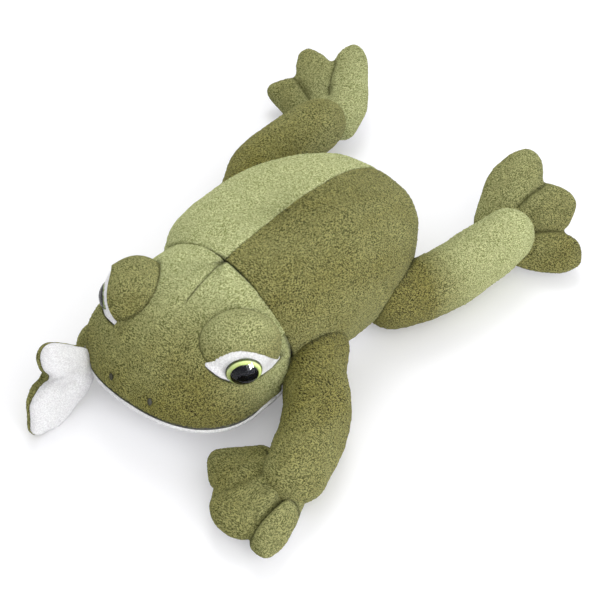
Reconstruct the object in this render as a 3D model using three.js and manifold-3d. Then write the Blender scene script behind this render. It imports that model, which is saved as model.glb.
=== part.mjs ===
// A plush frog hand puppet, lying on its belly.
// Millimetres. +Z is up, the nose points to -Y and the frog's own left side is +X.
// The origin is on the floor under the chest, on the flat of the belly panel.
import * as THREE from "three";
import { mergeVertices } from "three/addons/utils/BufferGeometryUtils.js";
import Module from "manifold-3d";

const wasm = await Module();
wasm.setup();

// Driving dimensions
const gap = 0.3; // between neighbouring pieces
const plush = 2.2; // short-pile plush with its backing
const lining = 1.2; // woven lining cloth
const board = 1.6; // stiffener plates in the mouth
const fold = 0.6; // free play where a soft piece moves on another

const trunk = { middle: 8, front: 84, back: 86, width: 124, height: 74, seam: 40, squareness: 0.88 };
const head = { middle: -77, front: 41, back: 200, width: 113, height: 70, lip: 20, squareness: 0.86 };
const crown = -44; // the head is highest this far along Y
const chin = { depth: 20.5, lowest: -74 };
const neck = { x: -8, y: -66, z: 36, radius: 43.2, reach: 69, nod: [-15, 0] };
const hollow = { front: -24, back: 66, width: 84, height: 42, floor: 6 };
const opening = { middle: 39, length: 56, width: 68, hem: 5 };
const bellySeam = 12; // level at which the belly panel meets the back panels
const pocket = { front: -98, width: 62, floor: 25, height: 17 };
const throat = { width: 66, floor: 6, height: 38 };
const mouth = { corner: -60, lining: 1.4, opening: 32, reach: 1 };
const boardInset = 5; // how far the stiffeners stay inside the seams
const thumb = { width: 34, floor: 4.6, front: -92 };
const mound = { across: 22.5, through: 18.8, tall: 17.8 };
const moundAt = { left: [36.8, -69.4, 52], right: [-31.2, -76.8, 52.3] }; // the head is turned a little
const facing = { left: 50, right: 52 }; // how far each eye looks aside
const eyeWhite = { width: 41, above: 13, below: 10, tilt: -5, drop: -7 };
const eye = { diameter: 20, pupil: 13.5, rise: 3.4, dome: 6.4, skin: 1, post: 5, postLength: 15 };
const eyeDrop = -6; // the eye sits below the middle of its mound
const eyeSeat = { left: 16.8, right: 15.8 }; // how far along its look an eye's back face sits
const lift = 9; // how far the eyes look up
const washer = { diameter: 15, thickness: 1.6, top: -3.4 };
const nostril = { x: 14.2, y: -114.6, z: 30.5, length: 5, width: 3 };
const groove = 0.3; // share of a pad's thickness that is lost between the toes
const beyond = 250; // reaches past the whole frog on every side

const up = new THREE.Vector3(0, 0, 1);
const radians = THREE.MathUtils.degToRad;

// Solids and meshes
function solidOf(geometry) {
  const bare = geometry.clone();
  bare.deleteAttribute("normal");
  bare.deleteAttribute("uv");
  const merged = mergeVertices(bare, 1e-3);
  const triVerts = new Uint32Array(merged.index.array);
  const vertProperties = new Float32Array(merged.attributes.position.array);
  const made = new wasm.Manifold(new wasm.Mesh({ numProp: 3, vertProperties, triVerts }));
  if (made.volume() > 0) return made;
  return new wasm.Manifold(new wasm.Mesh({ numProp: 3, vertProperties, triVerts: triVerts.reverse() }));
}

function geometryOf(solid) {
  const mesh = solid.simplify(0.06).getMesh();
  const geometry = new THREE.BufferGeometry();
  geometry.setAttribute("position", new THREE.BufferAttribute(mesh.vertProperties, 3));
  geometry.setIndex(new THREE.BufferAttribute(mesh.triVerts, 1));
  geometry.computeVertexNormals();
  return geometry;
}

const largest = (solid) => solid.decompose().sort((a, b) => b.volume() - a.volume())[0];

// A closed body through rings of points, with one point as the ring that closes each end.
function ringBody(rings) {
  const corners = [];
  const at = (ring, index) => ring[index % ring.length];
  rings.slice(0, -1).forEach((low, i) => {
    const high = rings[i + 1];
    const sides = Math.max(low.length, high.length);
    for (let j = 0; j < sides; j++) {
      if (low.length > 1) corners.push(at(low, j), at(low, j + 1), at(high, j + 1));
      if (high.length > 1) corners.push(at(low, j), at(high, j + 1), at(high, j));
    }
  });
  return solidOf(new THREE.BufferGeometry().setFromPoints(corners));
}

// A box and a placed copy, as solids.
function block(low, high) {
  const size = high.map((value, i) => value - low[i]);
  const box = new THREE.BoxGeometry(...size);
  return solidOf(box.translate(...low.map((value, i) => value + size[i] / 2)));
}

const placed = (solid, matrix) => solid.transform(matrix.toArray());

function turnAbout(point, axis, degrees) {
  const turn = new THREE.Matrix4().makeRotationAxis(axis, radians(degrees));
  const there = new THREE.Matrix4().makeTranslation(point);
  const back = new THREE.Matrix4().makeTranslation(point.clone().negate());
  return there.multiply(turn).multiply(back);
}

// What a fixed neighbour sweeps as the moving piece swings over its range.
function swept(neighbour, point, axis, range, steps) {
  const copies = Array.from({ length: steps + 1 }, (_, i) => {
    const degrees = THREE.MathUtils.lerp(range[0], range[1], i / steps);
    return placed(neighbour, turnAbout(point, axis, -degrees));
  });
  return copies.reduce((sum, copy) => sum.add(copy));
}

// What a convex piece itself fills as it swings, bridged by a hull from each step to the next.
function bridges(solid, point, axis, range, steps) {
  const copies = Array.from({ length: steps + 1 }, (_, i) => {
    const degrees = THREE.MathUtils.lerp(range[0], range[1], i / steps);
    return placed(solid, turnAbout(point, axis, degrees));
  });
  return copies.slice(1).map((copy, i) => wasm.Manifold.hull([copies[i], copy]));
}

// A stuffed form: an outline in plan whose two faces swell away from the seam round it.
// A face rises as (1 - s^full)^(1/round), where s runs from its apex out to the seam.
function stuffed({ outline, seam = 0, upper, lower, swell = () => 1 }, grow, sides, steps) {
  const ring = (face, i) => {
    const share = Math.min(1, Math.sin((i / steps) * (Math.PI / 2)));
    const [centreX, centreY] = face.apex ?? [0, 0];
    const rise = Math.max(0, 1 - share ** face.full) ** (1 / (face.round ?? 2));
    const height = Math.sign(face.height) * (Math.abs(face.height) + grow) * rise;
    if (share < 1e-6) return [new THREE.Vector3(centreX, centreY, seam + height)];
    return Array.from({ length: sides }, (_, j) => {
      const angle = (2 * Math.PI * j) / sides;
      const [x, y] = outline(angle, grow);
      return new THREE.Vector3(
        THREE.MathUtils.lerp(centreX, x, share),
        THREE.MathUtils.lerp(centreY, y, share),
        seam + height * swell(angle, share),
      );
    });
  };
  const down = Array.from({ length: steps + 1 }, (_, i) => ring(upper, i));
  const below = Array.from({ length: steps }, (_, i) => ring(lower, steps - 1 - i));
  return ringBody([...down, ...below]);
}

const power = (value, exponent) => Math.sign(value) * Math.abs(value) ** exponent;

// An egg-shaped plan, squarer than an ellipse, that reaches further at one end than at the other.
const egg = ({ middle, front, back, width, squareness }) => (angle, grow) => {
  const along = power(Math.sin(angle), squareness);
  const reach = along < 0 ? front : back;
  const x = (width / 2 + grow) * power(Math.cos(angle), squareness);
  return [x, middle + (reach + grow) * along];
};

// The same plan for a room between two places along Y.
const plainEgg = (low, high, width, squareness) => {
  const reach = (high - low) / 2;
  return egg({ middle: low + reach, front: reach, back: reach, width, squareness });
};

// A straight prism on an oval, from one level to another.
function ovalPrism(width, length, middle, low, high, sides) {
  const plan = plainEgg(middle - length / 2, middle + length / 2, width, 0.8);
  const ring = (z) =>
    Array.from({ length: sides }, (_, j) => {
      const [x, y] = plan((2 * Math.PI * j) / sides, 0);
      return new THREE.Vector3(x, y, z);
    });
  const capped = (z) => [new THREE.Vector3(0, middle, z)];
  return ringBody([capped(low), ring(low), ring(high), capped(high)]);
}

const above = (solid, level) => solid.trimByPlane([0, 0, 1], level);
const below = (solid, level) => solid.trimByPlane([0, 0, -1], -level);
const layer = (solid, low, high) => below(above(solid, low), high);
const all = (solids) => solids.reduce((sum, solid) => sum.add(solid));

// Trunk
const trunkForm = (grow, sides, steps) =>
  stuffed(
    {
      outline: egg(trunk),
      seam: trunk.seam,
      upper: { apex: [0, trunk.middle], height: trunk.height - trunk.seam, full: 2.4 },
      lower: { apex: [0, trunk.middle], height: -trunk.seam - 0.5, full: 4.2 },
    },
    grow,
    sides,
    steps,
  );

// The room for the hand under the back, with the passage from it into the head.
function hollowForm(grow) {
  const middle = (hollow.front + hollow.back) / 2;
  const room = stuffed(
    {
      outline: plainEgg(hollow.front, hollow.back, hollow.width, 0.7),
      seam: hollow.floor + hollow.height * 0.45,
      upper: { apex: [0, middle], height: hollow.height * 0.55, full: 2.6 },
      lower: { apex: [0, middle], height: -hollow.height * 0.45, full: 4 },
    },
    grow,
    14,
    3,
  );
  return room.add(throatForm(grow));
}

function throatForm(grow) {
  const front = neck.y;
  const length = hollow.front + 26 - front;
  const oval = ovalPrism(throat.width + 2 * grow, throat.height + 2 * grow, 0, 0, length, 12);
  const lying = new THREE.Matrix4().makeRotationX(-Math.PI / 2);
  return placed(oval, lying.setPosition(0, front, throat.floor + throat.height / 2));
}

// The hole in the belly, from under the floor up into the room.
const openingForm = (grow) =>
  ovalPrism(opening.width + 2 * grow, opening.length + 2 * grow, opening.middle, -1, hollow.floor + 8, 16);

const neckPivot = new THREE.Vector3(0, neck.y, neck.z);
const axisX = new THREE.Vector3(1, 0, 0);
const axisY = new THREE.Vector3(0, 1, 0);

// The barrel on which the head nods, round about the axis along X.
function barrel(grow) {
  const ball = new THREE.SphereGeometry(1, 40, 12).rotateZ(Math.PI / 2);
  ball.scale(neck.reach + grow, neck.radius + grow, neck.radius + grow);
  return solidOf(ball.translate(neck.x, neck.y, neck.z));
}

// What the nodding head and all before it need free of the trunk.
function headRoom(grow) {
  const highest = neck.y + Math.sqrt(neck.radius ** 2 - (head.height - neck.z) ** 2) + grow;
  const before = block([-trunk.width, -beyond, -beyond], [trunk.width, mouth.corner + grow, beyond]);
  const over = block([-trunk.width, -beyond, head.height - 1], [trunk.width, highest, beyond]);
  return all([barrel(grow), before, over]);
}

function trunkPieces() {
  const room = hollowForm(0);
  const sleeve = hollowForm(-gap).subtract(hollowForm(-gap - lining));
  const cut = headRoom(fold);
  const filling = above(trunkForm(-plush - gap, 14, 4), plush + gap);
  const skin = above(trunkForm(0, 28, 5), 0)
    .subtract(above(trunkForm(-plush, 14, 4), plush))
    .subtract(cut)
    .subtract(openingForm(0));
  const back = above(skin, bellySeam + gap / 2);
  return {
    back_cover_left: largest(back.trimByPlane([1, 0, 0], gap / 2)),
    back_cover_right: largest(back.trimByPlane([-1, 0, 0], gap / 2)),
    belly_cover: largest(below(skin, bellySeam - gap / 2)),
    body_stuffing: largest(filling.subtract(room).subtract(openingForm(0)).subtract(headRoom(fold + gap))),
    glove_lining: largest(sleeve.subtract(cut).subtract(openingForm(gap))),
    opening_hem: hemRing(),
  };
}

// A rolled hem that lies just inside the hole.
function hemRing() {
  const roll = opening.hem / 2;
  const outer = opening.width / 2 - gap;
  const rings = Array.from({ length: 6 }, (_, i) => {
    const turn = (2 * Math.PI * i) / 6;
    const inner = roll * (1 - Math.cos(turn));
    const length = opening.length - 2 * (gap + inner);
    return { width: 2 * (outer - inner), length, z: roll * (1.3 + Math.sin(turn)) };
  });
  const points = rings.map((ring) => {
    const low = opening.middle - ring.length / 2;
    const plan = plainEgg(low, low + ring.length, ring.width, 0.8);
    return Array.from({ length: 16 }, (_, j) => {
      const [x, y] = plan((2 * Math.PI * j) / 16, 0);
      return new THREE.Vector3(x, y, ring.z);
    });
  });
  return ringBody([...points, points[0]]);
}

// Head
function headForm(grow, sides = 28, steps = 5, reach = 0) {
  const plan = egg(head);
  return stuffed(
    {
      outline: (angle) => plan(angle, grow + reach),
      seam: head.lip,
      upper: { apex: [0, crown], height: head.height - head.lip, full: 2 },
      lower: { apex: [0, chin.lowest], height: -chin.depth, full: 2, round: 1.25 },
    },
    grow,
    sides,
    steps,
  );
}

// Cuts away what of the head would reach behind the round face on which it nods.
function behindNeck(grow) {
  const back = block([-trunk.width, mouth.corner + grow, -beyond], [trunk.width, beyond, beyond]);
  return back.subtract(barrel(grow));
}

// The room for the fingers above the roof of the mouth.
function pocketForm() {
  const back = neck.y + neck.radius + 20;
  const middle = [0, (pocket.front + back) / 2];
  const half = pocket.height / 2;
  return stuffed(
    {
      outline: plainEgg(pocket.front, back, pocket.width, 0.6),
      seam: pocket.floor + half,
      upper: { apex: middle, height: half, full: 4 },
      lower: { apex: middle, height: -half, full: 4 },
    },
    0,
    12,
    3,
  );
}

// The head with the two mounds that carry the eyes.
const browForm = (grow, sides, steps) =>
  all([headForm(grow, sides, steps), moundForm("left", grow), moundForm("right", grow)]);

const bothEyes = (form, grow) => form("left", grow).add(form("right", grow));

function headSkin(thickness) {
  return above(browForm(0).subtract(browForm(-thickness, 14, 4)), head.lip).subtract(behindNeck(0));
}

function headPieces() {
  const seats = all([bothEyes(moundForm, gap), bothEyes(almondPrism, gap)]);
  const boardLow = head.lip + mouth.lining + gap * 1.5;
  const throatFront = mouth.corner + fold;
  const filling = above(browForm(-plush - gap, 14, 4), boardLow + board + gap);
  const beforeCorner = (solid) => solid.trimByPlane([0, -1, 0], -mouth.corner - 4);
  const roof = beforeCorner(headForm(-plush - gap, 14, 4));
  const boardRoof = beforeCorner(headForm(-plush - boardInset, 14, 4));
  const low = below(headForm(0), head.lip - gap / 2).trimByPlane([0, 1, 0], throatFront);
  return {
    head_cover: largest(headSkin(plush).subtract(seats)),
    head_stuffing: largest(filling.subtract(all([behindNeck(-gap), pocketForm(), bothEyes(eyeSpace, gap)]))),
    palate_lining: largest(layer(roof, head.lip + gap / 2, head.lip + gap / 2 + mouth.lining)),
    palate_board: largest(layer(boardRoof, boardLow, boardLow + board)),
    throat_panel: largest(above(low.subtract(headForm(-plush, 14, 4)).subtract(behindNeck(0)), 0)),
  };
}

// Jaw
const jawPivot = new THREE.Vector3(0, mouth.corner, head.lip);

// Keeps what lies in front of the slanted face on which the jaw closes against the throat.
function beforeThroat(solid, shift) {
  const slant = radians(mouth.opening);
  const normal = [0, -Math.cos(slant), Math.sin(slant)];
  return solid.trimByPlane(normal, normal[1] * jawPivot.y + normal[2] * jawPivot.z + shift);
}

function jawPieces() {
  const top = head.lip - gap / 2;
  const boardTop = top - mouth.lining - gap;
  const padTop = boardTop - board - gap;
  const half = (padTop - thumb.floor) / 2;
  const middle = [0, (thumb.front - 40) / 2];
  const room = stuffed(
    {
      outline: plainEgg(thumb.front, -40, thumb.width, 0.7),
      seam: thumb.floor + half,
      upper: { apex: middle, height: half + 2, full: 4 },
      lower: { apex: middle, height: -half, full: 4 },
    },
    0,
    16,
    3,
  );
  const form = (grow, sides, steps) => headForm(grow, sides, steps, mouth.reach);
  const cover = above(below(form(0), top).subtract(form(-plush, 14, 4)), 0);
  const pad = layer(form(-plush - gap, 14, 4), plush + gap, padTop).subtract(room);
  return {
    chin_cover: largest(beforeThroat(cover, 0)),
    chin_stuffing: largest(beforeThroat(pad, 0)),
    mouth_floor: largest(beforeThroat(layer(form(-plush - gap, 14, 4), boardTop + gap, top), 0)),
    jaw_board: largest(beforeThroat(layer(form(-plush - boardInset, 14, 4), boardTop - board, boardTop), 0)),
  };
}

// Eyes
// Each eye looks outwards, forwards and a little up. Its own Z axis is the way it looks.
function eyeFrame(side) {
  const sign = side === "left" ? 1 : -1;
  const flat = radians(facing[side]);
  const rise = radians(lift);
  const look = new THREE.Vector3(
    sign * Math.sin(flat) * Math.cos(rise),
    -Math.cos(flat) * Math.cos(rise),
    Math.sin(rise),
  );
  const across = new THREE.Vector3().crossVectors(up, look).normalize();
  const high = new THREE.Vector3().crossVectors(look, across);
  const matrix = new THREE.Matrix4().makeBasis(across, high, look);
  return matrix.setPosition(...moundAt[side]);
}

function moundForm(side, grow) {
  const ball = new THREE.SphereGeometry(1, 14, 8).rotateX(Math.PI / 2);
  ball.scale(mound.across + grow, mound.tall + grow, mound.through + grow);
  return placed(solidOf(ball), eyeFrame(side));
}

// The almond of the eye white, as a prism along the way that the eye looks.
function almondPrism(side, grow) {
  const half = eyeWhite.width / 2 + grow;
  const sign = side === "left" ? 1 : -1;
  const shape = new THREE.Shape();
  shape.moveTo(-half, 0);
  shape.quadraticCurveTo(0, 2 * (eyeWhite.above + grow), half, 0);
  shape.quadraticCurveTo(0, -2 * (eyeWhite.below + grow), -half, 0);
  const prism = new THREE.ExtrudeGeometry(shape, { depth: 40, bevelEnabled: false, curveSegments: 5 });
  prism.rotateZ(radians(sign * eyeWhite.tilt)).translate(0, eyeWhite.drop, 2);
  return placed(solidOf(prism), eyeFrame(side));
}

// A turned piece on the eye's axis, from a profile of radius and height pairs.
function turned(side, profile) {
  const points = profile.map(([radius, height]) => new THREE.Vector2(radius, height));
  const lathe = new THREE.LatheGeometry(points, 14).rotateX(Math.PI / 2);
  const seat = new THREE.Matrix4().makeTranslation(0, eyeDrop, eyeSeat[side]);
  return placed(solidOf(lathe), eyeFrame(side).multiply(seat));
}

function domeProfile(radius, low, high, steps = 3) {
  return Array.from({ length: steps + 1 }, (_, i) => {
    const angle = (i / steps) * (Math.PI / 2);
    return [i < steps ? radius * Math.cos(angle) : 0, low + (high - low) * Math.sin(angle)];
  });
}

function irisSolid(side) {
  const rim = eye.diameter / 2 - eye.skin - 1.4 * gap;
  const post = eye.post / 2;
  const seat = eye.pupil / 2 + gap;
  return turned(side, [
    [0, -eye.postLength],
    [post * 0.8, -eye.postLength],
    [post, -eye.postLength + 1.5],
    [post, 0],
    [rim, 0],
    [rim, eye.rise * 0.25],
    [seat, eye.rise],
    [seat, 1],
    [0, 1],
  ]);
}

function pupilSolid(side) {
  const low = 1 + gap;
  const dome = domeProfile(eye.pupil / 2, eye.rise - 0.4, eye.rise + 1);
  return turned(side, [[0, low], [eye.pupil / 2, low], ...dome]);
}

// The clear cap over iris and pupil. Its rim goes round the iris.
function corneaSolid(side) {
  const outer = eye.diameter / 2;
  const inner = outer - eye.skin;
  return turned(side, [
    [inner, 0],
    [outer, 0],
    ...domeProfile(outer, 1, eye.dome),
    ...domeProfile(inner, 1, eye.dome - eye.skin).reverse(),
    [inner, 0],
  ]);
}

function washerSolid(side) {
  const hole = eye.post / 2 + 0.15;
  const low = washer.top - washer.thickness;
  const rim = washer.diameter / 2;
  return turned(side, [
    [hole, low],
    [rim, low],
    [rim, washer.top],
    [hole, washer.top],
    [hole, low],
  ]);
}

// The room that a plastic eye takes in what it is set into.
function eyeSpace(side, grow) {
  const flange = eye.diameter / 2 + grow;
  const post = eye.post / 2 + grow;
  const room = washer.diameter / 2 + grow;
  return turned(side, [
    [0, -eye.postLength - grow],
    [post, -eye.postLength - grow],
    [post, washer.top - washer.thickness - grow],
    [room, washer.top - washer.thickness - grow],
    [room, washer.top + grow],
    [post, washer.top + grow],
    [post, -grow],
    [flange, -grow],
    [flange, 20],
    [0, 20],
  ]);
}

function eyePieces(side) {
  const space = eyeSpace(side, gap);
  const hood = headSkin(plush).intersect(moundForm(side, 0)).subtract(almondPrism(side, gap));
  const white = headSkin(plush - 0.4).intersect(almondPrism(side, 0));
  return {
    [`eye_mound_${side}`]: largest(hood.subtract(space)),
    [`eye_white_${side}`]: largest(white.subtract(space)),
    [`iris_${side}`]: irisSolid(side),
    [`pupil_${side}`]: pupilSolid(side),
    [`cornea_${side}`]: corneaSolid(side),
    [`eye_washer_${side}`]: washerSolid(side),
  };
}

// A nostril: a short bead of dark thread in a dent of the snout.
function nostrilSolid(side) {
  const sign = side === "left" ? 1 : -1;
  const bead = new THREE.SphereGeometry(1, 10, 8);
  bead.scale(nostril.length / 2, nostril.width / 2, nostril.width / 2);
  bead.translate(sign * nostril.x, nostril.y, nostril.z);
  return solidOf(bead).subtract(headForm(gap));
}

// Limbs
// A stuffed limb along a path, with round ends. girth gives its half width and half height.
function limbForm(limb, grow, sides = 10, steps = 8) {
  const curve = new THREE.CatmullRomCurve3(limb.path.map((point) => new THREE.Vector3(...point)));
  const rings = Array.from({ length: steps + 1 }, (_, i) => {
    const t = 0.5 - 0.5 * Math.cos((Math.PI * i) / steps);
    const along = curve.getTangentAt(t);
    const centre = curve.getPointAt(t);
    if (i === 0 || i === steps) return [centre.addScaledVector(along, i === 0 ? -grow : grow)];
    const side = new THREE.Vector3().crossVectors(along, up).normalize();
    const lift = new THREE.Vector3().crossVectors(side, along);
    const near = Math.min(1, Math.min(t, 1 - t) / roundEnd);
    const round = Math.sqrt(1 - (1 - near) ** 2);
    const [wide, tall] = limb.girth(t);
    return Array.from({ length: sides }, (_, j) => {
      const angle = (2 * Math.PI * (j + 0.5)) / sides;
      return centre
        .clone()
        .addScaledVector(side, (wide + grow) * round * Math.cos(angle))
        .addScaledVector(lift, (tall + grow) * round * Math.sin(angle));
    });
  });
  return ringBody(rings);
}

const roundEnd = 0.14; // share of a limb's length over which its end is rounded
const bulge = (start, middle, end) => (t) => start * (1 - t) ** 2 + 2 * middle * t * (1 - t) + end * t ** 2;
const girthOf = ({ wide, tall }) => (t) => [bulge(...wide)(t), bulge(...tall)(t)];

// Half width and half height at a limb's start, middle and end
const armGirth = { wide: [14, 22, 19.5], tall: [15, 21, 12] };
const tuckedGirth = { wide: [14, 13, 9], tall: [15, 13, 10] };
const legGirth = { wide: [16, 21, 15.5], tall: [17, 19, 14.5] };

const leftArmPath = [[44, -6, 25], [62, -34, 21], [80, -56, 19], [91, -80, 17], [100, -110, 14]];
const rightArmPath = [[-44, -6, 25], [-60, -30, 20], [-65, -52, 13], [-61, -78, 11], [-52.5, -102, 13]];
const leftLegPath = [[44, 24, 20], [57, 44, 19], [66, 70, 19], [70, 98, 20], [73, 122, 23], [75, 137, 24]];
const rightLegPath = [
  [-44, 26, 20],
  [-60, 45, 20],
  [-77, 72, 20],
  [-80, 104, 20],
  [-76, 138, 23],
  [-75, 146, 24],
];

const arms = {
  left: { path: leftArmPath, girth: girthOf(armGirth) },
  right: { path: rightArmPath, girth: girthOf(tuckedGirth) },
};

const legs = {
  left: { path: leftLegPath, girth: girthOf(legGirth) },
  right: { path: rightLegPath, girth: girthOf(legGirth) },
};

const shoulder = { x: 50, y: -20, z: 26 };
const hip = { x: 50, y: 36, z: 20 };
const swing = { arm: { left: [-40, 5], right: [0, 35] }, leg: { left: [-35, 15], right: [-15, 35] } };
const flap = { wrist: [-12, 15], ankle: [-12, 15] };

// What the nodding head and the opening jaw need free beside and below them.
const wideHead = headForm(fold, 28, 5, mouth.reach).subtract(behindNeck(fold));
const wideJaw = beforeThroat(below(wideHead, head.lip), 0);
const jawSweep = bridges(wideJaw, jawPivot, axisX, [0, mouth.opening], 3);
const nodSweep = (part) => bridges(part, neckPivot, axisX, neck.nod, 2);
const headSweep = all([wideHead, ...jawSweep].flatMap(nodSweep));

// A pad with toes, and the webs and heel that join them, each [x, y, radius] in the pad's own plane.
const toed = ({ pad, toes, webs }) => (angle, grow) => {
  const reaches = [...toes, ...webs].map(([x, y, radius]) => {
    const away = Math.hypot(x, y);
    const off = angle - Math.atan2(y, x);
    const inside = (radius + grow) ** 2 - (away * Math.sin(off)) ** 2;
    return inside > 0 && Math.cos(off) > 0 ? away * Math.cos(off) + Math.sqrt(inside) : 0;
  });
  const reach = Math.max(pad + grow, ...reaches);
  return [reach * Math.cos(angle), reach * Math.sin(angle)];
};

// Grooves run in between the toes.
const grooved = ({ toes }) => (angle, share) => {
  const offs = toes.map(([x, y, radius]) => {
    const off = angle - Math.atan2(y, x);
    return Math.abs(Math.atan2(Math.sin(off), Math.cos(off))) / Math.atan2(radius, Math.hypot(x, y));
  });
  return 1 - groove * Math.min(1, ...offs) ** 2 * share ** 2;
};

const hands = {
  left: {
    at: [94, -113, 10],
    top: [0, 0, 1],
    pad: 18,
    toes: [[-33.5, 0, 11.5], [-5, -16.5, 16], [19, -21, 12]],
    webs: [[-14, -8, 12.5], [9, -4, 14], [-14, 11, 17]],
  },
  right: {
    at: [-42, -124, 24],
    top: [-0.94, -0.03, -0.33],
    pad: 10,
    toes: [[-6.5, 1, 10.5], [22, 22, 9.5]],
    webs: [[21, 6, 9.5], [14, -4, 10], [7, -8, 13]],
  },
};

const feet = {
  left: {
    at: [74, 144, 18],
    top: [0.2, -0.31, 0.93],
    pad: 17,
    toes: [[-26, 27, 12], [3, 17, 13.5], [26, -9, 12.5]],
    webs: [[-26, 8, 13], [8, -15, 15], [-14, -8, 18.5]],
  },
  right: {
    at: [-97, 161, 17],
    top: [0, -0.34, 0.94],
    pad: 17,
    toes: [[-28, -15, 11], [-28, 13, 10.5], [-3, 31, 10]],
    webs: [[-16, -4, 14], [-10, -14, 15], [-6, 12, 13], [6, 14, 14], [18, -6, 17]],
  },
};

const padThickness = { upper: 9, lower: 9 };

// A pad's own X axis lies as near to the frog's left as its tilt allows.
function padMatrix({ at, top }) {
  const normal = new THREE.Vector3(...top).normalize();
  const across = axisX.clone().addScaledVector(normal, -axisX.dot(normal)).normalize();
  const along = new THREE.Vector3().crossVectors(normal, across);
  return new THREE.Matrix4().makeBasis(across, along, normal).setPosition(...at);
}

function padForm(pad, grow, sides = 30, steps = 3) {
  const form = {
    outline: toed(pad),
    upper: { height: padThickness.upper, full: 2.6 },
    lower: { height: -padThickness.lower, full: 2.6 },
    swell: grooved(pad),
  };
  return placed(stuffed(form, grow, sides, steps), padMatrix(pad));
}

// The hinge of a pad runs level, square to the limb's last stretch, inside the limb's end.
function padHinge(limb) {
  const [last, end] = limb.path.slice(-2).map((point) => new THREE.Vector3(...point));
  const along = end.clone().sub(last).setZ(0).normalize();
  const point = end.clone().addScaledVector(along, -14);
  return { point, axis: new THREE.Vector3().crossVectors(up, along).normalize() };
}

function padPieces(pad, limb, range, names) {
  const { point, axis } = padHinge(limb);
  const sweep = swept(limbForm(limb, fold).add(headSweep), point, axis, range, 4);
  const skin = padForm(pad, 0).subtract(padForm(pad, -plush, 16, 2)).subtract(sweep);
  const filling = padForm(pad, -plush - gap, 16, 2).subtract(sweep);
  const normal = new THREE.Vector3(...pad.top).normalize();
  const level = normal.dot(new THREE.Vector3(...pad.at));
  const under = normal.clone().negate();
  return {
    [names[0]]: largest(above(skin.trimByPlane(normal.toArray(), level + gap / 2), 0)),
    [names[1]]: largest(above(skin.trimByPlane(under.toArray(), gap / 2 - level), 0)),
    [names[2]]: largest(above(filling, plush)),
  };
}

function limbPieces(side, limb, joint, range, names) {
  const sign = side === "left" ? 1 : -1;
  const point = new THREE.Vector3(sign * joint.x, joint.y, joint.z);
  const room = swept(trunkForm(fold, 28, 5).add(headSweep), point, axisY, range, 4);
  const skin = limbForm(limb, 0).subtract(limbForm(limb, -plush, 6, 8));
  return {
    [names[0]]: largest(above(skin.subtract(room), 0)),
    [names[1]]: largest(above(limbForm(limb, -plush - gap, 6, 8).subtract(room), plush)),
  };
}

// Materials, as the photograph shows them
const finish = (color, roughness) => new THREE.MeshStandardMaterial({ color, roughness, metalness: 0 });
const materials = {
  green: finish(0x76853f, 0.95),
  white: finish(0xece9ea, 0.95),
  filling: finish(0xf4f2ea, 1),
  lining: finish(0x6f7d45, 0.9),
  board: finish(0xd9d4c4, 0.7),
  mouth: finish(0x3f4a26, 0.9),
  iris: finish(0xa9bf5a, 0.25),
  pupil: finish(0x08080c, 0.08),
  clear: finish(0xf2f6f4, 0.05),
  washer: finish(0xf0f0ee, 0.4),
  thread: finish(0x2f3818, 0.9),
};

function materialOf(name) {
  if (/stuffing/.test(name)) return materials.filling;
  if (/belly|throat|chin_cover|palm|sole|white/.test(name)) return materials.white;
  if (/glove|hem/.test(name)) return materials.lining;
  if (/board/.test(name)) return materials.board;
  if (/palate|mouth/.test(name)) return materials.mouth;
  if (/iris/.test(name)) return materials.iris;
  if (/pupil/.test(name)) return materials.pupil;
  if (/cornea/.test(name)) return materials.clear;
  if (/washer/.test(name)) return materials.washer;
  if (/nostril/.test(name)) return materials.thread;
  return materials.green;
}

const pieces = { ...trunkPieces(), ...headPieces(), ...jawPieces() };
for (const side of ["left", "right"]) {
  const named = (...parts) => parts.map((part) => `${part}_${side}`);
  Object.assign(
    pieces,
    eyePieces(side),
    { [`nostril_${side}`]: nostrilSolid(side) },
    limbPieces(side, arms[side], shoulder, swing.arm[side], named("arm_cover", "arm_stuffing")),
    padPieces(hands[side], arms[side], flap.wrist, named("hand_cover", "palm_cover", "hand_stuffing")),
    limbPieces(side, legs[side], hip, swing.leg[side], named("leg_cover", "leg_stuffing")),
    padPieces(feet[side], legs[side], flap.ankle, named("foot_cover", "sole_cover", "foot_stuffing")),
  );
}

const frog = new THREE.Group();
for (const [name, solid] of Object.entries(pieces)) {
  const mesh = new THREE.Mesh(geometryOf(solid), materialOf(name));
  mesh.name = name;
  frog.add(mesh);
}

export default frog;
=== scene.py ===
# %% [markdown]
# # A plush frog hand puppet
# The frog lies on its belly. Its back, head, arms and legs are sewn from short-pile plush and
# stuffed, and a hand goes in through a hole in the belly to work the mouth.
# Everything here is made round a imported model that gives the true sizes. It comes in as a
# fixed frame, in metres, with the nose pointing to -Y.

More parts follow.
